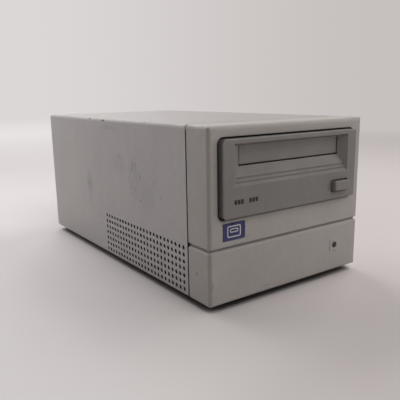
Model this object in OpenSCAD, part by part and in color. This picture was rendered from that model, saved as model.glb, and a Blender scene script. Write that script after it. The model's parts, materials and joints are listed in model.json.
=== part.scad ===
// Desktop tape drive: a 3.5-inch cartridge drive in a case of its own, with power supply and fan.
// Millimetres: x to the right seen from the front, y from front to rear, z up.
// The origin is the middle of the footprint, on the surface that the feet stand on.
// Pieces are drawn in the case's frame: x = 0 in the middle, y = 0 on the front face,
// z = 0 on the case's bottom. Pieces of the drive use the drive's frame, see drive_frame().

/* [Case] */
// Width of the case
case_w = 117; // [114:1:130]
// Depth of the case, from the front face to the cover's rear edge
case_d = 220; // [214:1:250]
// Height of the case without its feet
case_h = 94; // [94:1:110]
// Thickness of the cover's sheet
sheet_t = 1; // [0.8:0.1:1.2]
// Thickness of the sheet of the base, the rear panel and the drive bracket
base_t = 1.2; // [1:0.1:1.4]
// Outer radius of the cover's long bends
corner_r = 2; // [1.4:0.1:3]
// Width of the cover's bottom flanges
flange_w = 8; // [7:0.1:8.4]
// Width of the cover's rear lips
rear_lip_w = 5.5; // [5.2:0.1:5.8]
// Gap between the front bezel and the cover
seam = 1.2; // [0.4:0.1:1.4]
// Height of the chassis flange that the front bezel is screwed to
front_flange_h = 15; // [14:0.5:17]

/* [Front bezel] */
// Depth of the moulded front bezel
bezel_d = 18.7; // [17:0.1:22]
// Wall of the front bezel
bezel_wall = 3; // [2.6:0.1:3.2]
// Radius of the bezel's front edges
bezel_edge_r = 2.4; // [2:0.1:3.5]
// Height of the V-groove above the case bottom
groove_z = 30.5; // [26:0.5:32]
// Height of the V-groove's mouth
groove_h = 3; // [2:0.1:3.4]
// Depth of the V-groove
groove_depth = 1.7; // [1:0.1:1.9]

/* [Vents] */
// Radius of one vent hole
vent_r = 1.15; // [0.6:0.05:1.4]
// Distance between neighbouring vent holes
vent_pitch = 4; // [3.6:0.1:4.2]
// Holes in a row, from front to rear
vent_columns = 25; // [10:1:28]
// Rows of holes
vent_rows = 7; // [3:1:9]
// First hole behind the cover's front edge
vent_first_y = 3.7; // [3:0.1:6]
// Lowest row above the case bottom
vent_first_z = 3.8; // [3:0.1:6]

/* [Feet] */
// Height of a foot below the case
foot_h = 3.5; // [3:0.1:6]
// Radius of a foot
foot_r = 6; // [4.5:0.1:7]
// Front feet behind the front face
foot_front_y = 26; // [25.5:0.5:30]
// Rear feet ahead of the cover's rear edge
foot_rear_inset = 20; // [12:1:30]

/* [Drive front] */
// Middle of the drive, to the right of the case's middle
drive_x = -1.15; // [-1.5:0.05:1.5]
// Underside of the drive's face above the case bottom
face_z = 46.95; // [46:0.05:47.4]
// Width of the drive's face
face_w = 101.6; // [101:0.1:102.4]
// Height of the drive's face
face_h = 40.4; // [40.2:0.1:41]
// How far the drive's face stands in front of the front bezel
face_proud = 3.5; // [2.5:0.1:4]
// Gap between the drive's face and the front bezel
face_gap = 0.9; // [0.6:0.1:1]
// Middle of the flared recess, to the right of the drive's middle
recess_x = -0.3; // [-0.4:0.1:0.4]
// Width of the flared recess at the face
recess_w = 87; // [84:0.5:90]
// Lower end of the recess above the face's underside
recess_bottom = 16.1; // [15.5:0.1:17]
// Upper end of the recess above the face's underside
recess_top = 37.9; // [37.5:0.1:38.2]
// Depth of the recess
recess_depth = 4.7; // [4.4:0.1:4.9]

/* [Cartridge door] */
// Middle of the door, to the right of the drive's middle
door_x = 0.9; // [-0.9:0.1:0.9]
// Width of the door's opening
door_w = 76.2; // [75.8:0.1:77]
// Lower edge of the door's opening above the face's underside
door_bottom = 25.85; // [25.7:0.05:26]
// Upper edge of the door that shows
door_top = 36.35; // [36:0.05:36.6]
// Gap round the door
door_gap = 0.6; // [0.4:0.05:0.7]
// Thickness of the door
door_t = 1.4; // [1:0.1:1.6]
// Radius of the door's hinge pins
door_pin_r = 0.8; // [0.6:0.05:0.9]

/* [Eject button] */
// Middle of the button, to the right of the drive's middle
eject_x = 36.45; // [34:0.05:38]
// Middle of the button above the face's underside
eject_z = 8.05; // [7.5:0.05:8.6]
// Width of the button
eject_w = 13; // [11:0.5:14]
// Height of the button
eject_h = 5.5; // [4.5:0.1:6]
// How far the button stands out of the drive's face
eject_proud = 3; // [2:0.1:3.5]
// Travel of the button
eject_travel = 1.8; // [1:0.1:2]

/* [Lights and badge] */
// Width of one group of light ribs
lens_w = 5.8; // [5:0.1:6.4]
// Height of the light ribs
lens_h = 2.3; // [1.8:0.1:2.8]
// Middle of the light ribs above the face's underside
lens_z = 8.3; // [7:0.1:9]
// Radius of the power light
power_light_r = 1.75; // [1.2:0.05:2]
// Power light in from the case's right side
power_light_inset = 21; // [18:0.5:24]
// Power light above the case bottom
power_light_z = 16.7; // [15:0.1:20]
// Width of the badge plate
badge_w = 14.6; // [10:0.1:15]
// Height of the badge plate
badge_h = 9.2; // [6:0.1:9.6]
// Middle of the badge in from the case's left side
badge_inset = 16.1; // [15.5:0.1:28]
// Middle of the badge above the case bottom
badge_z = 39.35; // [38:0.05:40]

/* [Drive body] */
// Width of the drive's chassis
chassis_w = 101.6; // [101:0.1:101.6]
// Rear end of the drive behind the front face
chassis_end_y = 146; // [144:1:149]
// Wall of the drive's chassis
chassis_t = 1.5; // [1.2:0.1:1.8]
// Underside of the deck above the face's underside
deck_z = 10; // [9.8:0.05:10.1]
// Radial gap of a shaft in its bore
run_gap = 0.05; // [0.03:0.01:0.08]

/* [Cartridge cage] */
// Width inside the cage
cage_w = 74.2; // [73.8:0.1:74.4]
// Height inside the cage
cage_h = 11.2; // [11:0.05:11.3]
// Front end of the cage behind the front face
cage_front_y = 15; // [14.5:0.1:16]
// Length of the cage
cage_len = 56; // [55:0.5:56.5]
// Sheet of the cage and its guides
cage_t = 0.8; // [0.6:0.05:0.9]
// How far the cage goes down
cage_drop = 9; // [7:0.1:9]
// How far the cam slider moves
slider_travel = 12; // [10:0.5:12]

/* [Fan] */
// Width and height of the fan's frame
fan_w = 60; // [58:0.5:62]
// Depth of the fan's frame
fan_d = 20; // [18:0.5:25]
// Thinnest wall of the fan's frame, beside its air passage
fan_wall = 1.6; // [1.4:0.1:3]
// Fan's screw holes in from its sides
fan_hole_inset = 5; // [4.8:0.1:5.2]
// Blades of the fan
fan_blades = 7; // [5:1:9]

/* [Rear connectors] */
// Gap between the flanges of the two bus connectors
connector_gap = 4; // [3.6:0.1:4.2]
// Bus connectors below the case's top
connector_drop = 14; // [12:0.5:16]
// Width of a bus connector's shell
shell_w = 36; // [34:0.5:36.5]
// Height of a bus connector's shell
shell_h = 9; // [8:0.1:10]
// How far the shells stand out of the rear panel
shell_proud = 6; // [5.5:0.1:8]
// Jack posts in from the ends of a connector's flange
jack_inset = 3; // [2.9:0.1:3.1]
// Mains inlet to the right of the case's middle
inlet_x = 32; // [30:0.5:34]
// Mains inlet above the case bottom
inlet_z = 20; // [18:0.5:22]
// Power switch to the right of the case's middle
switch_x = 43; // [41:0.5:45]
// Power switch and number switch above the case bottom
switch_z = 51; // [49:0.5:53]
// Number switch to the right of the case's middle
number_x = 20; // [18:0.5:24]

/* [Power supply] */
// Width of the supply's board
supply_w = 88; // [84:1:90]
// Length of the supply's board
supply_len = 104; // [102:1:106]
// Height of the standoffs under the board
standoff_h = 5; // [4:0.5:6]
// Radius of the large capacitor
bulk_r = 11; // [8:0.5:12]
// Height of the large capacitor
bulk_h = 32; // [20:1:33]

/* [Hidden] */
$fn = 48;

// Overrun of every cut
over = 1;
// Gap between sheet parts that slip into each other
fit_gap = 0.2;
// Gap between pieces that pass each other
pass_gap = 0.3;

// Where the case stands in the part's frame
front_reach = face_proud + eject_proud;
total_d = front_reach + case_d - sheet_t + shell_proud;
case_front = front_reach - total_d / 2;

// Screws of the case, the drive and the supply
screw_r = 1.4;
screw_len = 5;
screw_head_r = 2.8;
screw_head_h = 1.8;
screw_slot_w = 0.7;
screw_slot_len = 3.6;
screw_slot_depth = 0.8;
tapped_r = screw_r + run_gap;
clear_r = screw_r + fit_gap;

// Cover, base and rear panel
cover_front_y = bezel_d + seam;
inner_w = case_w - 2 * sheet_t;
inner_r = corner_r - sheet_t;
floor_z = sheet_t + base_t;
panel_w = inner_w - 2 * fit_gap;
floor_w = panel_w - 2 * inner_r;
panel_out_y = case_d - sheet_t;
panel_in_y = panel_out_y - base_t;
panel_top_z = case_h - sheet_t - fit_gap;
panel_foot_d = 9;
cover_screw_x = case_w / 2 - sheet_t - rear_lip_w / 2;
cover_screw_inset = 12;
panel_screw_x = 30;

// Front bezel
badge_x = badge_inset - case_w / 2;
power_light_x = case_w / 2 - power_light_inset;
lip_t = 1.5;
lip_len = 3.2;
lip_bottom_z = front_flange_h + bezel_wall;
boss_r = 3.6;
boss_x = 46;
boss_z = 9;
badge_t = 0.6;
badge_pocket = 0.4;
badge_r = 0.8;
badge_rim = 0.7;
badge_sink = 0.2;
light_proud = 0.3;
light_len = 7;
light_collar_r = 2.6;
light_collar_t = 1.2;

// Feet
foot_x = case_w / 2 - sheet_t - flange_w - fit_gap - foot_r;
foot_stem_r = 2;
foot_stem_h = 1.6;
foot_taper = 0.6;
foot_rear_y = case_d - foot_rear_inset;

// Face of the drive
face_y = -face_proud;
face_r = 2.6;
face_edge_r = 0.8;
face_wall = 2.2;
face_side_wall = 1.6;
face_back_y = 9;
face_inner_y = face_y + face_wall;
recess_y = face_y + recess_depth;
door_pocket_d = 2.7;
block_end_y = recess_y + door_pocket_d;
block_margin = 2;
// Corners of the recess's apron, as shares of its depth and of its height below the door
apron_depth_shares = [0, 0.57, 0.57, 0.785, 0.785, 1];
apron_height_shares = [0, 0.535, 0.63, 0.755, 0.84, 1];

// Door
hinge_inset = 1.3;
hinge_y = recess_y + hinge_inset;
hinge_z = door_top + hinge_inset;
door_barrel_r = 1;
door_pin_len = 2.2;
door_face_y = hinge_y - door_barrel_r;
door_rib_t = 0.6;

// Eject button
eject_slot_gap = 0.55;
eject_flange = 1;
eject_flange_t = 1;
eject_stem_r = 1.2;
board_front_y = 7;
board_t = 1.2;
tact_w = 4.5;
tact_h = 1.5;
eject_edge_r = 0.7;

// Status lights
lens_at_x = [-40.75, -30.95];
rib_count = 3;
rib_w = 1.5;
rib_pitch = (lens_w - rib_w) / (rib_count - 1);
lens_back_margin = 0.8;
lens_back_t = 1;
lens_proud = 0.15;
lens_pipe_w = 2;
post_at_x = [-20, 22];
post_r = 1.8;

// Drive body
body_z = 0.2;
lid_t = 1;
body_top_z = face_h - body_z;
lid_z = body_top_z - lid_t;
deck_t = 1.5;
deck_top = deck_z + deck_t;
lid_tab_z = 16;
board_z = 3;
drive_board_t = 1.6;
board_top = board_z + drive_board_t;
board_side = 2.8;
board_start_y = 12;
plug_d = 6.5;
board_end_y = chassis_end_y - plug_d;
board_post_r = 2.5;
board_post_inset = 6;
side_hole_z = 6.35 + body_z;
side_hole_y = [25, 85];
chip_h = 1.4;

// Bracket of the drive
bracket_gap = 0.1;
bracket_in = chassis_w / 2 + bracket_gap;
bracket_out = bracket_in + base_t;
bracket_y = [24, 140];
bracket_top_z = 75;
shelf_drop = 0.3;
shelf_top = face_z + body_z - shelf_drop;
bracket_foot_w = 10;
bracket_foot_start_y = 36;
bracket_foot_y = [48, 134];
bracket_screw_x = bracket_in - bracket_foot_w + screw_head_r + 2 * fit_gap;

// Cage, its guides and the cam slider
cage_floor_z = door_bottom - fit_gap;
ledge_w = 10;
cage_side = cage_w / 2 + cage_t;
cage_top_z = cage_floor_z + cage_h + cage_t;
cage_end_y = cage_front_y + cage_len;
cage_stop_w = 7;
guide_x = cage_side + 2 * pass_gap;
guide_t = 1;
guide_y = [24, 63];
guide_foot_y = 42;
guide_top_z = lid_z - pass_gap - lid_t / 2;
cam_x = guide_x + guide_t + pass_gap + fit_gap;
cam_t = 1;
cam_y = [18, 65];
cam_top_z = 37;
cage_pin_r = 1;
cage_pin_y = [34, 58];
cage_pin_drop = 4.6;
cage_pin_z = cage_top_z - cage_pin_drop;
cage_pin_out = cam_x + cam_t + 2 * pass_gap;
slot_gap = 0.12;
bar_d = 3;
bar_h = 2.5;
glide_z = deck_top + pass_gap;
guide_notch_z = glide_z + bar_h + pass_gap;

// Loading gears
gear_module = 0.8;
small_teeth = 14;
wheel_teeth = 30;
pinion_teeth = 10;
tooth_share = 0.36;
tip_share = 0.2;
addendum_share = 0.75;
dedendum_share = 1.1;
tooth_pitch = PI * gear_module;
small_r = gear_module * small_teeth / 2;
wheel_r = gear_module * wheel_teeth / 2;
pinion_r = gear_module * pinion_teeth / 2;
rack_pitch_x = cam_x + fit_gap;
rack_back_x = rack_pitch_x + dedendum_share * gear_module;
rack_out_x = rack_back_x + 2 * cam_t;
gear_at = [rack_pitch_x - small_r, 108];
motor_angle = 150;
motor_at = gear_at + (wheel_r + pinion_r) * [cos(motor_angle), sin(motor_angle)];
rack_h = 3.4;
rack_lift = 1.6;
rack_z = glide_z + rack_lift;
rack_teeth = 8;
small_gear_h = 3.8;
wheel_lift = 2.8;
wheel_z = rack_z + rack_h + wheel_lift;
wheel_h = 2;
gear_post_r = 1;
gear_hub_r = 3;
motor_r = 8;
motor_h = 7.2;

// Drum, capstan, pinch roller, reels and tape guides
drum_at = [0, 100];
drum_r = 15;
lower_drum_h = 9;
head_drum_h = 9.7;
drum_lip = 0.4;
drum_lip_h = 3;
drum_shaft_r = 2;
drum_cap_r = 7;
capstan_at = [27, 82];
capstan_r = 1.5;
capstan_top = 29;
flywheel_r = 11;
flywheel_z = 6.5;
flywheel_h = 2.2;
bearing_r = 3.2;
bearing_h = 5.5;
arm_at = [35, 73];
arm_len = 12;
arm_rest_angle = 83.7;
arm_t = 2.2;
arm_w = 4;
arm_post_r = 1.5;
arm_boss_r = 2.9;
arm_z = glide_z + pass_gap;
roller_r = 4;
roller_h = 7.4;
roller_pin_r = 1;
roller_z = 17.65;
reel_at = [15, 45];
reel_r = 9;
reel_flange_t = 2;
reel_hub_r = 3.2;
reel_hub_h = 10;
reel_post_r = 1.5;
reel_key_w = 1;
reel_key_out = 0.9;
track_at = [12, 74.5];
track_angle = 62.8;
track_travel = 18;
carriage_r = 4;
carriage_h = 2.5;
guide_post_r = 1.5;
guide_post_top = 26;
keel_r = 1;
keel_drop = 0.6;

// Drive connectors and internal leads
header_x = -6;
header_w = 50;
header_h = 5;
header_d = 12.5;
power_header_w = 10;
header_gap = 2;
plug_y = chassis_end_y + fit_gap;
plug_z = face_z + board_top + header_h / 2;
lead_x = header_x + header_w / 2 + header_gap + power_header_w / 2;
ribbon_w = header_w - 2 * header_gap;
ribbon_t = 1;
wire_r = 0.9;
wire_pitch = 2.1;
wire_count = 4;
wire_rise_y = 6;
mains_r = 1.2;
mains_pitch = 3;
mains_bend = [40, 60];

// Fan, its guard and its screws
fan_r = 3;
fan_hub_r = 14;
fan_strut_w = 3;
fan_strut_t = 2.5;
fan_tube_r = 4;
fan_tube_len = 12;
fan_shaft_r = 1.5;
fan_hole_r = 2.15;
cup_t = 1.5;
blade_t = 1.2;
blade_angle = 38;
blade_chord = 13;
blade_gap = 0.5;
fan_bore_r = fan_w / 2 - fan_wall;
fan_hole_pitch = fan_w - 2 * fan_hole_inset;
fan_front_y = panel_in_y - fan_d;
guard_wire_r = 0.8;
guard_rings = 3;
guard_ring_step = 8;
guard_eye_r = 3;
fan_screw_r = 2;
fan_screw_head_r = 3.6;
fan_screw_len = 15;

// Bus connectors
shell_t = 0.8;
shell_slant = 1.6;
shell_ear_w = 7;
shell_flange_w = shell_w + 2 * shell_ear_w;
shell_flange_h = 12.6;
insert_d = 12;
insert_gap = 0.5;
insert_setback = 1;
connector_x = (shell_flange_w + connector_gap) / 2;
connector_z = case_h - connector_drop;
jack_pitch = shell_flange_w - 2 * jack_inset;
jack_r = 2.4;
jack_len = 5;
jack_hole_r = 1.1;
jack_hole_len = 4;
jack_stem_r = 1.5;

// Number switch
number_face_w = 11;
number_face_h = 29;
number_face_t = 1.2;
number_body_w = 9;
number_body_h = 26;
number_body_d = 15;
number_wheel_r = 7;
number_wheel_w = 5;
number_axle_r = 1;
number_pocket_w = 6;
number_pocket_d = 4.8;
number_window_w = 5.6;
number_window_h = 6.4;
number_button_w = 4.4;
number_button_h = 3.4;
number_button_z = 10;
number_button_travel = 1.2;
number_button_proud = 1.5;
number_face_y = panel_out_y + number_face_t;
number_wheel_y = number_face_y - door_rib_t - number_wheel_r;

// The fan is midway between side and number switch, and between floor and bus connectors
fan_x = (number_x - number_face_w / 2 - panel_w / 2 + base_t) / 2;
fan_z = (floor_z + connector_z - shell_flange_h / 2) / 2;

// Mains inlet
inlet_face_w = 31;
inlet_face_h = 25;
inlet_face_t = 2;
inlet_body_w = 27.2;
inlet_body_h = 20.2;
inlet_body_d = 22;
inlet_w = 24;
inlet_h = 16.6;
inlet_depth = 17;
inlet_chamfer = 4;
inlet_pin_w = 2;
inlet_pin_h = 4;
inlet_pin_len = 15;
inlet_pin_x = 7;
inlet_pin_z = 2;
inlet_tail = 7;
inlet_tail_y = panel_out_y + inlet_face_t - inlet_body_d - inlet_tail;

// Power switch
rocker_w = 10;
rocker_half_h = 7.8;
rocker_angle = 12;
rocker_mid = 2.2;
rocker_base = 4;
rocker_base_half = 5;
rocker_pin_r = 1.2;
rocker_pin_len = 1;
rocker_gap = 0.35;
switch_face_w = 16.4;
switch_face_h = 22;
switch_face_t = 1.6;
switch_body_w = 14;
switch_body_h = 19.4;
switch_body_d = 16;
switch_cavity_half = 8.75;
switch_pivot_y = panel_out_y - base_t;
switch_cavity_d = 7;

// Power supply
supply_y = 32;
supply_t = 1.6;
standoff_r = 3;
standoff_inset = 8;
supply_z = floor_z + standoff_h;
supply_top = supply_z + supply_t;
supply_plug_h = 6;
mains_header_x = 38;
mains_header_y = 109;
mains_header_h = 9;
transformer_w = 34;
transformer_d = 30;
transformer_h = 28;
transformer_at = [-18, 62];
transformer_flange = 4;
bulk_at = [24, 54];
output_r = 5;
output_h = 20;
output_count = 4;
output_pitch = 12;
output_at = [-24, 121];
sink_w = 72;
sink_y = 94;
sink_t = 3;
sink_h = 28;
sink_fin = 10;
sink_fin_t = 1.5;
sink_fins = 12;

// Shapes that the pieces share

module case_frame() {
  translate([0, case_front, foot_h])
    children();
}

// The drive's frame: x = 0 in its middle, y = 0 on the case's front face, z = 0 under its face
module drive_frame() {
  case_frame()
    translate([drive_x, 0, face_z])
      children();
}

module block(x, y, z) {
  translate([x[0], y[0], z[0]])
    cube([x[1] - x[0], y[1] - y[0], z[1] - z[0]]);
}

module rod_x(x, y, z, r) {
  translate([x[0], y, z])
    rotate([0, 90, 0])
      cylinder(r = r, h = x[1] - x[0]);
}

module rod_y(x, y, z, r) {
  translate([x, y[0], z])
    rotate([-90, 0, 0])
      cylinder(r = r, h = y[1] - y[0]);
}

module rod_z(at, z, r) {
  translate([at[0], at[1], z[0]])
    cylinder(r = r, h = z[1] - z[0]);
}

// Extrudes an outline drawn in x and z along y
module along_y(y) {
  translate([0, y[1], 0])
    rotate([90, 0, 0])
      linear_extrude(y[1] - y[0])
        children();
}

// Extrudes an outline drawn in y and z along x
module along_x(x) {
  translate([x[0], 0, 0])
    rotate([90, 0, 90])
      linear_extrude(x[1] - x[0])
        children();
}

module rounded_square(w, h, r) {
  square([w - 2 * r, h], center = true);
  square([w, h - 2 * r], center = true);
  for (i = [-1, 1], k = [-1, 1])
    translate([i * (w / 2 - r), k * (h / 2 - r)])
      circle(r);
}

module both_sides() {
  children();
  mirror([1, 0, 0])
    children();
}

// Solid whose front is at front_y with rounded front edges, and whose rear is cut at back_y
module rounded_front(w, h, front_y, back_y, edge_r, side_r) {
  d = back_y - front_y;
  intersection() {
    along_y([front_y, back_y])
      translate([0, h / 2])
        rounded_square(w, h, side_r);
    linear_extrude(h)
      translate([0, front_y + d])
        rounded_square(w, 2 * d, edge_r);
    along_x([-w / 2, w / 2])
      translate([front_y + d, h / 2])
        rounded_square(2 * d, h, edge_r);
  }
}

// Screw whose head sits on the plane z = 0 and whose shank points down
module pan_screw(shank_r, shank_len, head_r, head_h) {
  difference() {
    union() {
      translate([0, 0, -shank_len])
        cylinder(r = shank_r, h = shank_len + head_h / 2);
      cylinder(r = head_r, h = head_h);
    }
    for (a = [0, 90])
      rotate([0, 0, a])
        translate([0, 0, head_h])
          cube([screw_slot_len, screw_slot_w, 2 * screw_slot_depth], center = true);
  }
}

module case_screw() {
  pan_screw(screw_r, screw_len, screw_head_r, screw_head_h);
}

// Outline of a straight slot of radius r between two points
module slot_outline(from, to, r) {
  run = to - from;
  translate(from)
    circle(r);
  translate(to)
    circle(r);
  translate(from)
    rotate(atan2(run[1], run[0]))
      translate([0, -r])
        square([norm(run), 2 * r]);
}

// Corner points of one gear tooth, n teeth on pitch radius r, tooth i
function tooth_points(n, r, i) =
  let (root = r - dedendum_share * gear_module,
    tip = r + addendum_share * gear_module,
    half = 180 * tooth_share / n,
    half_tip = 180 * tip_share / n,
    half_root = 180 * (2 * tooth_share - tip_share) / n,
    mid = 360 * i / n)
  [
    root * [cos(mid - half_root), sin(mid - half_root)],
    r * [cos(mid - half), sin(mid - half)],
    tip * [cos(mid - half_tip), sin(mid - half_tip)],
    tip * [cos(mid + half_tip), sin(mid + half_tip)],
    r * [cos(mid + half), sin(mid + half)],
    root * [cos(mid + half_root), sin(mid + half_root)]
  ];

module gear_outline(n, r) {
  polygon([for (i = [0:n - 1]) each tooth_points(n, r, i)]);
}

// Case

module cover_outline() {
  translate([0, case_h / 2])
    rounded_square(case_w, case_h, corner_r);
}

module vent_field() {
  for (i = [0:vent_columns - 1], k = [0:vent_rows - 1])
    rod_x(
      [case_w / 2 - sheet_t - over, case_w / 2 + over],
      cover_front_y + vent_first_y + i * vent_pitch,
      vent_first_z + k * vent_pitch,
      vent_r
    );
}

module cover_screw_places() {
  for (i = [-1, 1], z = [cover_screw_inset, case_h - cover_screw_inset])
    translate([i * cover_screw_x, 0, z])
      children();
}

module top_cover() {
  open_x = inner_w / 2 - flange_w;
  lip_x = inner_w / 2 - rear_lip_w;
  color([0.72, 0.70, 0.68]) case_frame()
    difference() {
      along_y([cover_front_y, case_d])
        cover_outline();
      along_y([cover_front_y - over, case_d - sheet_t])
        translate([0, case_h / 2])
          rounded_square(inner_w, case_h - 2 * sheet_t, inner_r);
      block([-open_x, open_x], [cover_front_y - over, case_d + over], [-over, sheet_t + over]);
      block(
        [-lip_x, lip_x],
        [case_d - sheet_t - over, case_d + over],
        [-over, case_h - sheet_t - rear_lip_w]
      );
      both_sides()
        vent_field();
      cover_screw_places()
        rod_y(0, [case_d - sheet_t - over, case_d + over], 0, clear_r);
    }
}

module standoff_places() {
  for (i = [-1, 1], y = [supply_y + standoff_inset, supply_y + supply_len - standoff_inset])
    translate([i * (supply_w / 2 - standoff_inset), y, 0])
      children();
}

module bracket_screw_places() {
  for (i = [-1, 1], y = bracket_foot_y)
    translate([drive_x + i * bracket_screw_x, y, 0])
      children();
}

module panel_screw_places() {
  for (i = [-1, 1])
    translate([i * panel_screw_x, panel_in_y - panel_foot_d / 2, 0])
      children();
}

module foot_places() {
  for (i = [-1, 1], y = [foot_front_y, foot_rear_y])
    translate([i * foot_x, y, 0])
      children();
}

module base_chassis() {
  flange_half = panel_w / 2 - lip_t - fit_gap;
  color([0.72, 0.73, 0.74]) case_frame()
    difference() {
      union() {
        block([-floor_w / 2, floor_w / 2], [bezel_d, panel_out_y], [sheet_t, floor_z]);
        block([-flange_half, flange_half], [bezel_d, bezel_d + base_t], [sheet_t, front_flange_h]);
        standoff_places()
          rod_z([0, 0], [floor_z - base_t / 2, supply_z], standoff_r);
      }
      standoff_places()
        rod_z([0, 0], [floor_z, supply_z + over], tapped_r);
      bracket_screw_places()
        rod_z([0, 0], [sheet_t - over, floor_z + over], clear_r);
      panel_screw_places()
        rod_z([0, 0], [sheet_t - over, floor_z + over], clear_r);
      foot_places()
        rod_z([0, 0], [sheet_t - over, floor_z + over], foot_stem_r + run_gap);
      for (i = [-1, 1])
        rod_y(i * boss_x, [bezel_d - over, bezel_d + base_t + over], boss_z, clear_r);
    }
}

module rear_panel() {
  color([0.74, 0.74, 0.75]) case_frame()
    difference() {
      union() {
        along_y([panel_in_y, panel_out_y])
          translate([0, (floor_z + panel_top_z) / 2])
            rounded_square(panel_w, panel_top_z - floor_z, inner_r);
        block(
          [-floor_w / 2, floor_w / 2],
          [panel_in_y - panel_foot_d, panel_in_y + base_t / 2],
          [floor_z, floor_z + base_t]
        );
      }
      panel_screw_places()
        rod_z([0, 0], [floor_z - over, floor_z + base_t + over], tapped_r);
      rod_y(fan_x, [panel_in_y - over, panel_out_y + over], fan_z, fan_bore_r);
      fan_hole_places()
        rod_y(0, [panel_in_y - over, panel_out_y + over], 0, fan_screw_r + fit_gap);
      cover_screw_places()
        rod_y(0, [panel_in_y - over, panel_out_y + over], 0, tapped_r);
      for (i = [-1, 1])
        translate([i * connector_x, 0, connector_z]) {
          along_y([panel_in_y - over, panel_out_y + over])
            d_outline(shell_w + 2 * fit_gap, shell_h + 2 * fit_gap);
          for (k = [-1, 1])
            rod_y(
              k * jack_pitch / 2, [panel_in_y - over, panel_out_y + over], 0, jack_stem_r + run_gap
            );
        }
      cutout(number_x, switch_z, number_body_w, number_body_h);
      cutout(switch_x, switch_z, switch_body_w, switch_body_h);
      cutout(inlet_x, inlet_z, inlet_body_w, inlet_body_h);
    }
}

// Opening of the rear panel for a body of width w and height h
module cutout(x, z, w, h) {
  translate([x, (panel_in_y + panel_out_y) / 2, z])
    cube([w + 2 * fit_gap, base_t + 2 * over, h + 2 * fit_gap], center = true);
}

// Cutter of the V-groove at one side, drawn in the distance from the wall's face and the height
module groove_points(face) {
  reach = over * groove_h / 2 / groove_depth;
  polygon([
    [face - groove_depth, groove_z],
    [face + over, groove_z + groove_h / 2 + reach],
    [face + over, groove_z - groove_h / 2 - reach]
  ]);
}

// The V-groove runs along the left side, round the corners and across the front
module groove() {
  straight = case_w / 2 - bezel_edge_r;
  rotate([0, 0, -90])
    along_y([-straight, straight])
      groove_points(0);
  both_sides() {
    along_y([bezel_edge_r, bezel_d + over])
      groove_points(case_w / 2);
    translate([straight, bezel_edge_r, 0])
      rotate([0, 0, -90])
        rotate_extrude(angle = 90)
          groove_points(bezel_edge_r);
  }
}

module front_bezel() {
  inside = case_w / 2 - bezel_wall;
  lip_x = panel_w / 2;
  open_w = face_w + 2 * face_gap;
  color([0.70, 0.68, 0.66]) case_frame()
    difference() {
      union() {
        difference() {
          rounded_front(case_w, case_h, 0, bezel_d, bezel_edge_r, corner_r);
          block(
            [-inside, inside],
            [bezel_wall, bezel_d + over],
            [bezel_wall, case_h - bezel_wall]
          );
        }
        difference() {
          along_y([bezel_d - bezel_wall, bezel_d + lip_len])
            translate([0, (lip_bottom_z + panel_top_z) / 2])
              rounded_square(2 * lip_x, panel_top_z - lip_bottom_z, inner_r);
          block(
            [-lip_x + lip_t, lip_x - lip_t],
            [bezel_wall, bezel_d + lip_len + over],
            [lip_bottom_z - over, panel_top_z - lip_t]
          );
        }
        for (i = [-1, 1])
          rod_y(i * boss_x, [bezel_wall / 2, bezel_d], boss_z, boss_r);
      }
      groove();
      translate([drive_x, 0, face_z + face_h / 2])
        along_y([-over, bezel_wall + over])
          rounded_square(open_w, face_h + 2 * face_gap, face_r + face_gap);
      rod_y(power_light_x, [-over, bezel_wall + over], power_light_z, power_light_r + run_gap);
      translate([badge_x, 0, badge_z])
        along_y([-over, badge_pocket])
          rounded_square(badge_w + 2 * fit_gap, badge_h + 2 * fit_gap, badge_r);
      for (i = [-1, 1])
        rod_y(i * boss_x, [bezel_d - 2 * screw_len, bezel_d + over], boss_z, tapped_r);
    }
}

module foot() {
  rotate_extrude()
    polygon([
      [0, -foot_h],
      [foot_r - foot_taper, -foot_h],
      [foot_r, -foot_h + foot_taper],
      [foot_r, sheet_t],
      [foot_stem_r, sheet_t],
      [foot_stem_r, floor_z + foot_stem_h],
      [0, floor_z + foot_stem_h]
    ]);
}

module foot_at(x, y) {
  color([0.12, 0.12, 0.12]) case_frame()
    translate([x, y, 0])
      foot();
}

module badge_plate() {
  color([0.16, 0.16, 0.34]) case_frame()
    translate([badge_x, 0, badge_z])
      difference() {
        along_y([badge_pocket - badge_t, badge_pocket])
          rounded_square(badge_w, badge_h, badge_r);
        along_y([badge_pocket - badge_t - over, badge_pocket - badge_t + badge_sink])
          rounded_square(badge_w - 2 * badge_rim, badge_h - 2 * badge_rim, badge_r / 2);
      }
}

module power_light() {
  color([0.15, 0.18, 0.15]) case_frame() {
    rod_y(power_light_x, [-light_proud, light_len], power_light_z, power_light_r);
    rod_y(power_light_x, [bezel_wall, bezel_wall + light_collar_t], power_light_z, light_collar_r);
  }
}

module case_screws() {
  color([0.6, 0.6, 0.62]) case_frame() {
    cover_screw_places()
      translate([0, case_d, 0])
        rotate([-90, 0, 0])
          case_screw();
    for (i = [-1, 1])
      translate([i * boss_x, bezel_d + base_t, boss_z])
        rotate([-90, 0, 0])
          case_screw();
    bracket_screw_places()
      translate([0, 0, sheet_t])
        mirror([0, 0, 1])
          case_screw();
    panel_screw_places()
      translate([0, 0, sheet_t])
        mirror([0, 0, 1])
          case_screw();
    standoff_places()
      translate([0, 0, supply_top])
        case_screw();
    for (i = [0, 1], y = side_hole_y)
      translate([drive_x, y, face_z + side_hole_z])
        mirror([i, 0, 0])
          translate([bracket_out, 0, 0])
            rotate([0, 90, 0])
              case_screw();
  }
}

// Fan

module fan_hole_places() {
  for (i = [-1, 1], k = [-1, 1])
    translate([fan_x + i * fan_hole_pitch / 2, 0, fan_z + k * fan_hole_pitch / 2])
      children();
}

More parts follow.
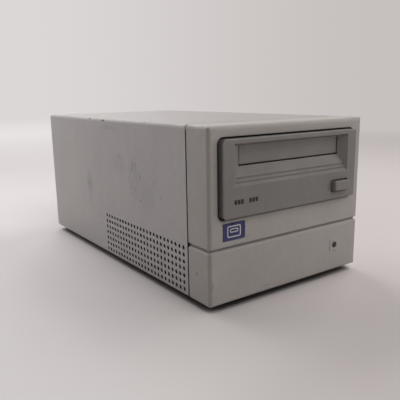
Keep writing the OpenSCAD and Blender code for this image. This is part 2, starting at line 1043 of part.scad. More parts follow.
module fan_frame() {
  color([0.1, 0.1, 0.1]) case_frame()
    difference() {
      union() {
        difference() {
          translate([fan_x, 0, fan_z])
            along_y([fan_front_y, panel_in_y])
              rounded_square(fan_w, fan_w, fan_r);
          rod_y(fan_x, [fan_front_y - over, panel_in_y + over], fan_z, fan_bore_r);
        }
        translate([fan_x, fan_front_y + fan_strut_t / 2, fan_z])
          for (a = [45, 135])
            rotate([0, a, 0])
              cube([2 * fan_bore_r + over, fan_strut_t, fan_strut_w], center = true);
        rod_y(fan_x, [fan_front_y, fan_front_y + fan_strut_t], fan_z, fan_hub_r);
        rod_y(fan_x, [fan_front_y, fan_front_y + fan_tube_len], fan_z, fan_tube_r);
      }
      rod_y(
        fan_x, [fan_front_y + fan_strut_t / 2, panel_in_y], fan_z, fan_shaft_r + run_gap
      );
      fan_hole_places()
        rod_y(0, [fan_front_y - over, panel_in_y + over], 0, fan_hole_r);
    }
}

module fan_rotor() {
  cup = [fan_front_y + fan_strut_t + 2 * pass_gap, panel_in_y - 2 * pass_gap];
  blade_y = (cup[0] + cup[1]) / 2;
  color([0.13, 0.13, 0.13]) case_frame() {
    difference() {
      rod_y(fan_x, cup, fan_z, fan_hub_r);
      rod_y(fan_x, [cup[0] - over, cup[1] - cup_t], fan_z, fan_hub_r - cup_t);
    }
    rod_y(
      fan_x, [fan_front_y + fan_strut_t / 2 + pass_gap, cup[1] - cup_t / 2], fan_z, fan_shaft_r
    );
    intersection() {
      difference() {
        rod_y(fan_x, cup, fan_z, fan_bore_r - blade_gap);
        rod_y(fan_x, [cup[0] - over, cup[1] + over], fan_z, fan_hub_r - cup_t / 2);
      }
      translate([fan_x, blade_y, fan_z])
        for (i = [0:fan_blades - 1])
          rotate([0, i * 360 / fan_blades, 0])
            translate([0, 0, fan_hub_r - cup_t])
              rotate([0, 0, blade_angle])
                translate([-blade_t / 2, -blade_chord / 2, 0])
                  cube([blade_t, blade_chord, fan_bore_r - fan_hub_r + cup_t]);
    }
  }
}

module wire_ring(r) {
  rotate([90, 0, 0])
    rotate_extrude()
      translate([r, 0])
        circle(guard_wire_r);
}

module fan_guard() {
  corner_r_out = fan_hole_pitch / 2 * sqrt(2) - guard_eye_r;
  color([0.75, 0.75, 0.77]) case_frame()
    translate([0, panel_out_y + guard_wire_r, 0]) {
      translate([fan_x, 0, fan_z]) {
        for (i = [1:guard_rings])
          wire_ring(i * guard_ring_step);
        for (a = [45:90:315])
          rotate([0, a, 0])
            rod_x([guard_ring_step, corner_r_out], 0, 0, guard_wire_r);
      }
      fan_hole_places()
        wire_ring(guard_eye_r);
    }
}

module fan_screws() {
  color([0.2, 0.2, 0.22]) case_frame()
    fan_hole_places()
      translate([0, panel_out_y + 2 * guard_wire_r, 0])
        rotate([-90, 0, 0])
          pan_screw(fan_screw_r, fan_screw_len, fan_screw_head_r, screw_head_h);
}

// Bus connectors

module d_outline(w, h) {
  low = w / 2 - shell_slant;
  polygon([[-w / 2, h / 2], [w / 2, h / 2], [low, -h / 2], [-low, -h / 2]]);
}

module bus_shell(side) {
  color([0.78, 0.78, 0.8]) case_frame()
    translate([side * connector_x, 0, connector_z])
      difference() {
        union() {
          along_y([panel_in_y - shell_t, panel_in_y])
            square([shell_flange_w, shell_flange_h], center = true);
          along_y([panel_in_y - shell_t, panel_out_y + shell_proud])
            d_outline(shell_w, shell_h);
        }
        along_y([panel_in_y - shell_t - over, panel_out_y + shell_proud + over])
          d_outline(shell_w - 2 * shell_t, shell_h - 2 * shell_t);
        for (k = [-1, 1])
          rod_y(
            k * jack_pitch / 2, [panel_in_y - shell_t - over, panel_in_y + over], 0,
            jack_stem_r + run_gap
          );
      }
}

module bus_inserts() {
  back_y = panel_in_y - shell_t - insert_d;
  color([0.12, 0.12, 0.13]) case_frame()
    for (i = [-1, 1])
      translate([i * connector_x, 0, connector_z])
        difference() {
          union() {
            along_y([back_y, panel_in_y - shell_t])
              square([shell_flange_w, shell_flange_h], center = true);
            along_y([panel_in_y - shell_t - over, panel_out_y + shell_proud - insert_setback])
              d_outline(
                shell_w - 2 * shell_t - 2 * insert_gap, shell_h - 2 * shell_t - 2 * insert_gap
              );
          }
          for (k = [-1, 1])
            rod_y(k * jack_pitch / 2, [back_y + jack_len, panel_in_y], 0, jack_stem_r + run_gap);
        }
}

module jack_posts() {
  color([0.8, 0.8, 0.82]) case_frame()
    for (i = [-1, 1], k = [-1, 1])
      translate([i * connector_x + k * jack_pitch / 2, 0, connector_z])
        difference() {
          union() {
            translate([0, panel_out_y, 0])
              rotate([-90, 0, 0])
                cylinder(r = jack_r, h = jack_len, $fn = 6);
            rod_y(0, [panel_in_y - jack_len, panel_out_y + over], 0, jack_stem_r);
          }
          rod_y(
            0, [panel_out_y + jack_len - jack_hole_len, panel_out_y + jack_len + over], 0, jack_hole_r
          );
        }
}

// Number switch: a wheel behind a window, with a plus and a minus button

module number_switch_body() {
  pocket_y = panel_out_y - number_body_d;
  wall = (number_body_w - number_pocket_w) / 2;
  reach = number_wheel_r + pass_gap;
  color([0.08, 0.08, 0.09]) case_frame()
    translate([number_x, 0, switch_z])
      difference() {
        union() {
          along_y([panel_out_y, number_face_y])
            rounded_square(number_face_w, number_face_h, number_face_t);
          along_y([pocket_y, panel_out_y])
            square([number_body_w, number_body_h], center = true);
        }
        block(
          [-number_pocket_w / 2, number_pocket_w / 2],
          [number_wheel_y - reach, panel_out_y],
          [-reach, reach]
        );
        block(
          [-number_window_w / 2, number_window_w / 2],
          [panel_out_y - over, number_face_y + over],
          [-number_window_h / 2, number_window_h / 2]
        );
        rod_x(
          [-number_body_w / 2 + wall / 3, number_body_w / 2 - wall / 3],
          number_wheel_y, 0, number_axle_r + run_gap
        );
        for (k = [-1, 1])
          translate([0, 0, k * number_button_z]) {
            number_button_room(pass_gap, number_face_y + over);
            block(
              [-number_pocket_w / 2, number_pocket_w / 2],
              [panel_out_y - number_pocket_d, panel_out_y],
              [-number_button_h / 2 - pass_gap, number_button_h / 2 + pass_gap]
            );
          }
      }
}

module number_button_room(gap, front_y) {
  block(
    [-number_button_w / 2 - gap, number_button_w / 2 + gap],
    [panel_out_y - 2 * number_button_travel, front_y],
    [-number_button_h / 2 - gap, number_button_h / 2 + gap]
  );
}

module number_wheel() {
  color([0.85, 0.85, 0.83]) case_frame()
    translate([number_x, number_wheel_y, switch_z]) {
      rod_x([-number_wheel_w / 2, number_wheel_w / 2], 0, 0, number_wheel_r);
      rod_x(
        [-number_body_w / 2 + number_face_t / 2, number_body_w / 2 - number_face_t / 2],
        0, 0, number_axle_r
      );
    }
}

module number_button(side) {
  color([0.16, 0.16, 0.17]) case_frame()
    translate([number_x, 0, switch_z + side * number_button_z]) {
      number_button_room(0, number_face_y + number_button_proud);
      block(
        [-number_pocket_w / 2 + fit_gap, number_pocket_w / 2 - fit_gap],
        [panel_out_y - 2 * number_button_travel, panel_out_y - fit_gap],
        [-number_button_h / 2, number_button_h / 2]
      );
    }
}

// Mains inlet

module inlet_outline(w, h) {
  polygon([
    [-w / 2, -h / 2],
    [w / 2, -h / 2],
    [w / 2, h / 2 - inlet_chamfer],
    [w / 2 - inlet_chamfer, h / 2],
    [-w / 2 + inlet_chamfer, h / 2],
    [-w / 2, h / 2 - inlet_chamfer]
  ]);
}

// Places of the three pins: line, neutral and, a little higher, earth
module inlet_pin_places() {
  for (at = [[-inlet_pin_x, -inlet_pin_z], [inlet_pin_x, -inlet_pin_z], [0, inlet_pin_z]])
    translate([at[0], 0, at[1]])
      children();
}

module inlet_housing() {
  face = panel_out_y + inlet_face_t;
  color([0.07, 0.07, 0.07]) case_frame()
    translate([inlet_x, 0, inlet_z])
      difference() {
        union() {
          along_y([panel_out_y, face])
            rounded_square(inlet_face_w, inlet_face_h, inlet_face_t);
          along_y([face - inlet_body_d, panel_out_y])
            square([inlet_body_w, inlet_body_h], center = true);
        }
        along_y([face - inlet_depth, face + over])
          inlet_outline(inlet_w, inlet_h);
        inlet_pin_places()
          along_y([face - inlet_body_d - over, face - inlet_depth + over])
            square([inlet_pin_w + 2 * run_gap, inlet_pin_h + 2 * run_gap], center = true);
      }
}

module inlet_pins() {
  floor_y = panel_out_y + inlet_face_t - inlet_depth;
  color([0.8, 0.78, 0.72]) case_frame()
    translate([inlet_x, 0, inlet_z])
      inlet_pin_places()
        along_y([inlet_tail_y, floor_y + inlet_pin_len])
          square([inlet_pin_w, inlet_pin_h], center = true);
}

// Power switch

module switch_housing() {
  face = panel_out_y + switch_face_t;
  half_w = rocker_w / 2 + rocker_gap;
  color([0.07, 0.07, 0.07]) case_frame()
    translate([switch_x, 0, switch_z])
      difference() {
        union() {
          along_y([panel_out_y, face])
            rounded_square(switch_face_w, switch_face_h, switch_face_t);
          along_y([panel_out_y - switch_body_d, panel_out_y])
            square([switch_body_w, switch_body_h], center = true);
        }
        block(
          [-half_w, half_w],
          [switch_pivot_y - switch_cavity_d, face + over],
          [-switch_cavity_half, switch_cavity_half]
        );
        rod_x(
          [-half_w - rocker_pin_len, half_w + rocker_pin_len],
          switch_pivot_y, 0, rocker_pin_r + run_gap
        );
      }
}

module switch_rocker() {
  rise = rocker_half_h * tan(rocker_angle);
  pin_x = rocker_w / 2 + rocker_pin_len;
  color([0.1, 0.1, 0.1]) case_frame()
    translate([switch_x, switch_pivot_y, switch_z])
      rotate([-rocker_angle, 0, 0]) {
        along_x([-rocker_w / 2, rocker_w / 2])
          polygon([
            [-rocker_base, -rocker_base_half],
            [rocker_mid + rise, -rocker_half_h],
            [rocker_mid, 0],
            [rocker_mid + rise, rocker_half_h],
            [-rocker_base, rocker_base_half]
          ]);
        rod_x([-pin_x, pin_x], 0, 0, rocker_pin_r);
      }
}

// Power supply

module supply_board() {
  end_y = supply_y + supply_len;
  color([0.1, 0.35, 0.2]) case_frame()
    difference() {
      union() {
        block([-supply_w / 2, supply_w / 2], [supply_y, end_y], [supply_z, supply_top]);
        block(
          [drive_x + lead_x - power_header_w / 2, drive_x + lead_x + power_header_w / 2],
          [end_y - power_header_w, end_y],
          [supply_z, supply_top + supply_plug_h]
        );
        block(
          [mains_header_x - power_header_w / 2, mains_header_x + power_header_w / 2],
          [mains_header_y, mains_header_y + power_header_w],
          [supply_z, supply_top + mains_header_h]
        );
      }
      standoff_places()
        rod_z([0, 0], [supply_z - over, supply_top + over], clear_r);
    }
}

module supply_transformer() {
  core_h = transformer_h - 2 * transformer_flange;
  color([0.75, 0.65, 0.3]) case_frame()
    translate([transformer_at[0], transformer_at[1], supply_top]) {
      translate([-transformer_w / 2, -transformer_d / 2, transformer_flange])
        cube([transformer_w, transformer_d, core_h]);
      translate([0, 0, transformer_h / 2])
        cube(
          [transformer_w - 2 * transformer_flange, transformer_d - transformer_flange, transformer_h],
          center = true
        );
    }
}

module bulk_capacitor() {
  color([0.1, 0.1, 0.3]) case_frame()
    rod_z(bulk_at, [supply_top, supply_top + bulk_h], bulk_r);
}

module output_capacitors() {
  color([0.1, 0.12, 0.2]) case_frame()
    for (i = [0:output_count - 1])
      rod_z(output_at + [i * output_pitch, 0], [supply_top, supply_top + output_h], output_r);
}

module heat_sink() {
  fin_pitch = (sink_w - sink_fin_t) / (sink_fins - 1);
  color([0.7, 0.7, 0.72]) case_frame()
    translate([-sink_w / 2, sink_y, supply_top]) {
      cube([sink_w, sink_t, sink_h]);
      for (i = [0:sink_fins - 1])
        translate([i * fin_pitch, 0, 0])
          cube([sink_fin_t, sink_t + sink_fin, sink_h]);
    }
}

// Drive: bracket, chassis, lid and face

module drive_bracket() {
  color([0.7, 0.71, 0.72]) case_frame()
    translate([drive_x, 0, 0])
      difference() {
        union() {
          both_sides() {
            block([bracket_in, bracket_out], bracket_y, [floor_z, bracket_top_z]);
            block(
              [bracket_in - bracket_foot_w, bracket_out],
              [bracket_foot_start_y, bracket_y[1]],
              [floor_z, floor_z + base_t]
            );
          }
          block([-bracket_out, bracket_out], bracket_y, [shelf_top - base_t, shelf_top]);
        }
        for (i = [-1, 1], y = bracket_foot_y)
          rod_z([i * bracket_screw_x, y], [floor_z - over, floor_z + base_t + over], tapped_r);
        for (y = side_hole_y)
          rod_x([-bracket_out - over, bracket_out + over], y, face_z + side_hole_z, clear_r);
      }
}

module board_post_places() {
  inset = chassis_w / 2 - board_side - board_post_inset;
  for (i = [-1, 1], y = [board_start_y + board_post_inset, board_end_y - board_post_inset])
    translate([i * inset, y, 0])
      children();
}

module drive_chassis() {
  half = chassis_w / 2;
  deck_x = half - chassis_t / 2;
  color([0.62, 0.62, 0.63]) drive_frame()
    difference() {
      union() {
        both_sides()
          block([half - chassis_t, half], [face_back_y, chassis_end_y], [body_z, lid_z]);
        block([-deck_x, deck_x], [face_back_y, chassis_end_y], [deck_z, deck_top]);
        board_post_places()
          rod_z([0, 0], [board_top, deck_z + deck_t / 2], board_post_r);
        both_sides()
          rod_z(reel_at, [deck_z, glide_z + reel_hub_h - pass_gap], reel_post_r);
        rod_z(capstan_at, [deck_z, deck_top + bearing_h], bearing_r);
        rod_z(gear_at, [deck_z, wheel_z + wheel_h + gear_post_r], gear_post_r);
        rod_z(arm_at, [deck_z, arm_z + arm_t + arm_post_r], arm_post_r);
      }
      rod_z(capstan_at, [deck_z - over, deck_top + bearing_h + over], capstan_r + run_gap);
      both_sides()
        translate([0, 0, deck_z - over])
          linear_extrude(deck_t + 2 * over)
            slot_outline(track_at, track_end, keel_r + 2 * run_gap);
      for (y = side_hole_y)
        both_sides()
          rod_x([half - chassis_t - over, half + over], y, side_hole_z, tapped_r);
    }
}

// End of the track that a tape guide runs along
track_end = track_at + track_travel * [cos(track_angle), sin(track_angle)];

module drive_top_cover() {
  half = chassis_w / 2;
  color([0.75, 0.75, 0.76]) drive_frame() {
    block([-half, half], [face_back_y, chassis_end_y], [lid_z, body_top_z]);
    block(
      [-half + chassis_t + fit_gap, half - chassis_t - fit_gap],
      [chassis_end_y - lid_t, chassis_end_y],
      [lid_tab_z, lid_z + lid_t / 2]
    );
  }
}

// The recess: flared to the sides, with a stepped apron below the door
module recess_space() {
  drop = door_bottom - recess_bottom;
  apron = [
    for (i = [0:len(apron_depth_shares) - 1])
      [recess_y - apron_depth_shares[i] * recess_depth, door_bottom - apron_height_shares[i] * drop]
  ];
  intersection() {
    linear_extrude(face_h)
      polygon([
        [door_x - door_w / 2, recess_y],
        [recess_x - recess_w / 2, face_y],
        [recess_x - recess_w / 2, face_y - over],
        [recess_x + recess_w / 2, face_y - over],
        [recess_x + recess_w / 2, face_y],
        [door_x + door_w / 2, recess_y]
      ]);
    along_x([-recess_w, recess_w])
      polygon(concat(apron, [
        [face_y - over, recess_bottom],
        [face_y - over, recess_top],
        [face_y, recess_top],
        [recess_y, door_top]
      ]));
  }
}

module lens_rib_places() {
  for (x = lens_at_x, i = [0:rib_count - 1])
    translate([x + (i - (rib_count - 1) / 2) * rib_pitch, 0, lens_z])
      children();
}

module drive_bezel() {
  side = face_w / 2 - face_side_wall;
  block_x = recess_w / 2 + block_margin;
  door_room_top = hinge_z + door_barrel_r + 2 * fit_gap;
  pin_end = door_w / 2 + door_pin_len + pass_gap;
  color([0.55, 0.53, 0.51]) drive_frame()
    difference() {
      union() {
        difference() {
          rounded_front(face_w, face_h, face_y, face_back_y, face_edge_r, face_r);
          block(
            [-side, side],
            [face_inner_y, face_back_y + over],
            [face_side_wall, face_h - face_side_wall]
          );
        }
        block(
          [recess_x - block_x, recess_x + block_x],
          [face_inner_y - face_wall / 2, block_end_y],
          [recess_bottom - block_margin, face_h - face_side_wall / 2]
        );
        for (x = post_at_x)
          rod_y(x, [face_inner_y - face_wall / 2, board_front_y], lens_z, post_r);
      }
      recess_space();
      translate([door_x, 0, 0]) {
        block([-door_w / 2, door_w / 2], [recess_y, block_end_y + over], [door_bottom, door_room_top]);
        rod_x([-pin_end, pin_end], hinge_y, hinge_z, door_pin_r + run_gap);
      }
      translate([eject_x, (face_y + face_inner_y) / 2, eject_z])
        cube(
          [eject_w + 2 * eject_slot_gap, face_wall + 2 * over, eject_h + 2 * eject_slot_gap],
          center = true
        );
      lens_rib_places()
        cube([rib_w + 2 * run_gap, 2 * face_back_y, lens_h + 2 * run_gap], center = true);
    }
}

module cartridge_door() {
  half = door_w / 2 - door_gap;
  color([0.50, 0.48, 0.47]) drive_frame()
    translate([door_x, 0, 0]) {
      block([-half, half], [door_face_y, door_face_y + door_t], [door_bottom + door_gap, hinge_z]);
      rod_x([-half, half], hinge_y, hinge_z, door_barrel_r);
      rod_x([-half - door_pin_len, half + door_pin_len], hinge_y, hinge_z, door_pin_r);
    }
}

module eject_button() {
  front = face_y - eject_proud;
  flange_y = face_inner_y + pass_gap;
  stem_end = board_front_y - tact_h - eject_travel - pass_gap;
  color([0.52, 0.50, 0.48]) drive_frame()
    translate([eject_x, 0, eject_z - eject_h / 2]) {
      rounded_front(eject_w, eject_h, front, flange_y + eject_flange_t / 2, eject_edge_r, eject_edge_r);
      block(
        [-eject_w / 2 - eject_flange, eject_w / 2 + eject_flange],
        [flange_y, flange_y + eject_flange_t],
        [-eject_flange, eject_h + eject_flange]
      );
      rod_y(0, [flange_y, stem_end], eject_h / 2, eject_stem_r);
    }
}

module status_lenses() {
  pipe_end = board_front_y - pass_gap;
  color([0.05, 0.05, 0.05]) drive_frame() {
    lens_rib_places()
      block(
        [-rib_w / 2, rib_w / 2],
        [face_y - lens_proud, face_inner_y + lens_back_t / 2],
        [-lens_h / 2, lens_h / 2]
      );
    for (x = lens_at_x)
      translate([x, 0, lens_z]) {
        block(
          [-lens_w / 2 - lens_back_margin, lens_w / 2 + lens_back_margin],
          [face_inner_y, face_inner_y + lens_back_t],
          [-lens_h / 2 - lens_back_margin, lens_h / 2 + lens_back_margin]
        );
        block([-lens_pipe_w / 2, lens_pipe_w / 2], [face_inner_y, pipe_end], [-lens_h / 2, lens_h / 2]);
      }
  }
}

module front_board() {
  half = face_w / 2 - 2 * face_side_wall;
  color([0.12, 0.4, 0.22]) drive_frame() {
    block(
      [-half, half],
      [board_front_y, board_front_y + board_t],
      [2 * face_side_wall, recess_bottom - block_margin]
    );
    block(
      [eject_x - tact_w / 2, eject_x + tact_w / 2],
      [board_front_y - tact_h, board_front_y + board_t / 2],
      [eject_z - tact_w / 2, eject_z + tact_w / 2]
    );
  }
}

module drive_board() {
  half = chassis_w / 2 - board_side;
  // Places of the large chips, as shares of the board's half width and of its length
  chip_shares = [[-0.45, 0.3], [0.4, 0.28], [0.15, 0.55]];
  chip_w = 20;
  len_y = board_end_y - board_start_y;
  color([0.12, 0.38, 0.22]) drive_frame() {
    block([-half, half], [board_start_y, board_start_y + len_y], [board_z, board_top]);
    for (s = chip_shares)
      translate([s[0] * half, board_start_y + s[1] * len_y, board_z])
        cube([chip_w, chip_w, 2 * chip_h], center = true);
  }
}

module drive_connectors() {
  for (c = [[header_x, header_w], [lead_x, power_header_w]])
    color([0.1, 0.1, 0.1]) drive_frame()
      translate([c[0] - c[1] / 2, plug_y - header_d, board_top])
        cube([c[1], header_d, header_h]);
}

// Block of a cable's plug, in the case's frame
module plug(x, w, y, z) {
  block([x - w / 2, x + w / 2], [y, y + plug_d], [z - header_h / 2, z + header_h / 2]);
}

// Flat cable from the drive's header up to the two bus connectors
module ribbon_cable() {
  end_y = panel_in_y - shell_t - insert_d;
  t = ribbon_t / 2;
  color([0.6, 0.6, 0.6]) case_frame()
    translate([drive_x + header_x, 0, 0]) {
      plug(0, header_w, plug_y, plug_z);
      along_x([-ribbon_w / 2, ribbon_w / 2])
        polygon([
          [plug_y + plug_d / 2, plug_z - t],
          [plug_y + 2 * plug_d + t, plug_z - t],
          [end_y - 2 * plug_d + t, connector_z - t],
          [end_y, connector_z - t],
          [end_y, connector_z + t],
          [end_y - 2 * plug_d, connector_z + t],
          [plug_y + 2 * plug_d, plug_z + t],
          [plug_y + plug_d / 2, plug_z + t]
        ]);
    }
}

// Round wire through a list of points
module wire(points, r) {
  for (i = [1:len(points) - 1]) {
    run = points[i] - points[i - 1];
    translate(points[i - 1])
      rotate([0, acos(run[2] / norm(run)), atan2(run[1], run[0])])
        cylinder(r = r, h = norm(run));
  }
  for (i = [1:len(points) - 2])
    translate(points[i])
      sphere(r + run_gap);
}

// Four wires from the supply's board up to the drive
module power_harness() {
  start_y = supply_y + supply_len;
  rise_y = plug_y + plug_d + wire_rise_y;
  low_z = supply_top + supply_plug_h / 2;
  color([0.75, 0.15, 0.1]) case_frame()
    translate([drive_x + lead_x, 0, 0]) {
      for (i = [0:wire_count - 1])
        translate([(i - (wire_count - 1) / 2) * wire_pitch, 0, 0])
          wire(
            [
              [0, start_y + plug_d / 2, low_z],
              [0, rise_y - wire_rise_y / 2, low_z],
              [0, rise_y, low_z + wire_rise_y / 2],
              [0, rise_y, plug_z - wire_rise_y / 2],
              [0, rise_y - wire_rise_y / 2, plug_z],
              [0, plug_y + plug_d / 2, plug_z]
            ],
            wire_r
          );
      plug(0, power_header_w, start_y, low_z);
      plug(0, power_header_w, plug_y, plug_z);
    }
}

// Three wires from the mains inlet to the supply's board
module mains_leads() {
  start_y = mains_header_y + power_header_w;
  low_z = supply_top + mains_header_h / 2;
  end_y = inlet_tail_y;
  // The places of the inlet's pins, in the order of the wires
  ends = [[-inlet_pin_x, -inlet_pin_z], [0, inlet_pin_z], [inlet_pin_x, -inlet_pin_z]];
  color([0.2, 0.35, 0.6]) case_frame() {
    for (i = [0:len(ends) - 1])
      wire(
        [
          [mains_header_x + (i - 1) * mains_pitch, start_y + plug_d / 2, low_z],
          [mains_header_x + (i - 1) * mains_pitch, start_y + mains_bend[0], low_z],
          [inlet_x + ends[i][0], start_y + mains_bend[1], inlet_z + ends[i][1]],
          [inlet_x + ends[i][0], end_y, inlet_z + ends[i][1]]
        ],
        mains_r
      );
    plug(mains_header_x, power_header_w, start_y, low_z);
  }
}

// Cartridge cage: pins on the cage run in upright slots of the guides and in slanted slots of the slider

module cage_guides() {
  color([0.7, 0.7, 0.72]) drive_frame()
    both_sides()
      along_x([guide_x, guide_x + guide_t])
        difference() {
          union() {
            translate([guide_y[0], guide_notch_z])
              square([guide_y[1] - guide_y[0], guide_top_z - guide_notch_z]);
            translate([guide_foot_y, deck_top])
              square([guide_y[1] - guide_foot_y, guide_top_z - deck_top]);
          }
          for (y = cage_pin_y)
            slot_outline([y, cage_pin_z], [y, cage_pin_z - cage_drop], cage_pin_r + slot_gap);
        }
}

module cam_slider() {
  color([0.68, 0.68, 0.7]) drive_frame() {
    both_sides()
      along_x([cam_x, cam_x + cam_t])
        difference() {
          translate([cam_y[0], glide_z])
            square([cam_y[1] - cam_y[0], cam_top_z - glide_z]);
          for (y = cage_pin_y)
            slot_outline(
              [y, cage_pin_z], [y - slider_travel, cage_pin_z - cage_drop], cage_pin_r + slot_gap
            );
        }
    translate([-cam_x - cam_t / 2, cam_y[0], glide_z])
      cube([2 * cam_x + cam_t, bar_d, bar_h]);
    rack();
  }
}

// Toothed bar behind the slider's right plate; a gap between teeth faces the gear at rest
module rack() {
  rack_end = gear_at[1] + 2 * tooth_pitch;
  half = tooth_pitch * tooth_share / 2;
  half_tip = tooth_pitch * tip_share / 2;
  half_root = tooth_pitch * (2 * tooth_share - tip_share) / 2;
  tip_x = rack_pitch_x - addendum_share * gear_module;
  block([cam_x, rack_out_x], [cam_y[1] - bar_d, cam_y[1]], [rack_z, rack_z + rack_h]);
  block([rack_back_x, rack_out_x], [cam_y[1] - bar_d, rack_end], [rack_z, rack_z + rack_h]);
  for (i = [0:rack_teeth - 1])
    translate([0, gear_at[1] + (1.5 - i) * tooth_pitch, rack_z])
      linear_extrude(rack_h)
        polygon([
          [rack_back_x + cam_t / 2, -half_root],
          [rack_back_x, -half_root],
          [rack_pitch_x, -half],
          [tip_x, -half_tip],
          [tip_x, half_tip],
          [rack_pitch_x, half],
          [rack_back_x, half_root],
          [rack_back_x + cam_t / 2, half_root]
        ]);
}

module cartridge_cage() {
  floor_low = cage_floor_z - cage_t;
  color([0.66, 0.66, 0.68]) drive_frame() {
    difference() {
      block([-cage_side, cage_side], [cage_front_y, cage_end_y], [floor_low, cage_top_z]);
      block(
        [-cage_w / 2, cage_w / 2],
        [cage_front_y - over, cage_end_y - cage_t],
        [cage_floor_z, cage_floor_z + cage_h]
      );
      block(
        [-cage_w / 2 + ledge_w, cage_w / 2 - ledge_w],
        [cage_front_y - over, cage_end_y + over],
        [floor_low - over, cage_floor_z + over]
      );
      block(
        [-cage_w / 2 + cage_stop_w, cage_w / 2 - cage_stop_w],
        [cage_end_y - cage_t - over, cage_end_y + over],
        [floor_low - over, cage_floor_z + cage_h]
      );
    }
    both_sides()
      for (y = cage_pin_y)
        rod_x([cage_side - cage_t / 2, cage_pin_out], y, cage_pin_z, cage_pin_r);
  }
}

// Loading motor and gears

module loading_motor() {
  color([0.6, 0.6, 0.62]) drive_frame()
    difference() {
      rod_z(motor_at, [deck_top, deck_top + motor_h], motor_r);
      rod_z(motor_at, [deck_top + over, deck_top + motor_h + over], gear_post_r + run_gap);
    }
}

module motor_pinion() {
  color([0.85, 0.85, 0.8]) drive_frame()
    translate([motor_at[0], motor_at[1], 0]) {
      translate([0, 0, wheel_z])
        rotate([0, 0, motor_angle + 180])
          linear_extrude(wheel_h)
            gear_outline(pinion_teeth, pinion_r);
      rod_z([0, 0], [deck_top + over + pass_gap, wheel_z + wheel_h / 2], gear_post_r);
    }
}

module loading_gear() {
  color([0.9, 0.9, 0.86]) drive_frame()
    translate([gear_at[0], gear_at[1], 0])
      difference() {
        union() {
          translate([0, 0, rack_z - fit_gap])
            linear_extrude(small_gear_h)
              gear_outline(small_teeth, small_r);
          translate([0, 0, wheel_z])
            linear_extrude(wheel_h)
              gear_outline(wheel_teeth, wheel_r);
          rod_z([0, 0], [glide_z, wheel_z + wheel_h / 2], gear_hub_r);
        }
        rod_z([0, 0], [glide_z - over, wheel_z + wheel_h + over], gear_post_r + run_gap);
      }
}

// Drum, capstan, pinch roller, reels and tape guides

module lower_drum() {
  color([0.78, 0.78, 0.8]) drive_frame()
    difference() {
      union() {
        rod_z(drum_at, [deck_top, deck_top + lower_drum_h], drum_r);
        rod_z(drum_at, [deck_top, deck_top + drum_lip_h], drum_r + drum_lip);
      }
      rod_z(drum_at, [deck_top + drum_lip_h, deck_top + lower_drum_h + over], drum_shaft_r + run_gap);
    }
}

module head_drum() {
  start_z = deck_top + lower_drum_h + pass_gap;
  color([0.82, 0.82, 0.84]) drive_frame() {
    rod_z(drum_at, [start_z, start_z + head_drum_h - drum_lip], drum_r);
    rod_z(drum_at, [start_z, start_z + head_drum_h], drum_cap_r);
    rod_z(drum_at, [deck_top + drum_lip_h + pass_gap, start_z + drum_lip], drum_shaft_r);
  }
}

module capstan() {
  color([0.8, 0.8, 0.82]) drive_frame() {
    rod_z(capstan_at, [flywheel_z, capstan_top], capstan_r);
    rod_z(capstan_at, [flywheel_z, flywheel_z + flywheel_h], flywheel_r);
  }
}

module pinch_arm() {
  color([0.7, 0.7, 0.72]) drive_frame()
    translate([arm_at[0], arm_at[1], 0])
      rotate([0, 0, arm_rest_angle])
        difference() {
          union() {
            rod_z([0, 0], [arm_z, arm_z + arm_t], arm_boss_r);
            block([0, arm_len], [-arm_w / 2, arm_w / 2], [arm_z, arm_z + arm_t]);
            rod_z([arm_len, 0], [arm_z, arm_z + arm_t], arm_w / 2);
            rod_z([arm_len, 0], [arm_z, roller_z + roller_h + roller_pin_r], roller_pin_r);
            rod_z([arm_len, 0], [arm_z, roller_z - pass_gap], arm_w / 2);
          }
          rod_z([0, 0], [arm_z - over, arm_z + arm_t + over], arm_post_r + run_gap);
        }
}

module pinch_roller() {
  color([0.1, 0.1, 0.1]) drive_frame()
    translate([arm_at[0], arm_at[1], 0])
      rotate([0, 0, arm_rest_angle])
        difference() {
          rod_z([arm_len, 0], [roller_z, roller_z + roller_h], roller_r);
          rod_z([arm_len, 0], [roller_z - over, roller_z + roller_h + over], roller_pin_r + run_gap);
        }
}

module reel(side) {
  color([0.88, 0.88, 0.85]) drive_frame()
    translate([side * reel_at[0], reel_at[1], glide_z])
      difference() {
        union() {
          cylinder(r = reel_r, h = reel_flange_t);
          cylinder(r = reel_hub_r, h = reel_hub_h);
          for (a = [0:120:240])
            rotate([0, 0, a])
              translate([0, -reel_key_w / 2, 0])
                cube([reel_hub_r + reel_key_out, reel_key_w, reel_hub_h - reel_flange_t]);
        }
        translate([0, 0, -over])
          cylinder(r = reel_post_r + run_gap, h = reel_hub_h + 2 * over);
      }
}

module tape_guide(side) {
  color([0.8, 0.8, 0.82]) drive_frame() {
    rod_z([side * track_at[0], track_at[1]], [glide_z, glide_z + carriage_h], carriage_r);
    rod_z([side * track_at[0], track_at[1]], [deck_z - keel_drop, glide_z + over], keel_r);
    rod_z([side * track_at[0], track_at[1]], [glide_z, guide_post_top], guide_post_r);
  }
}

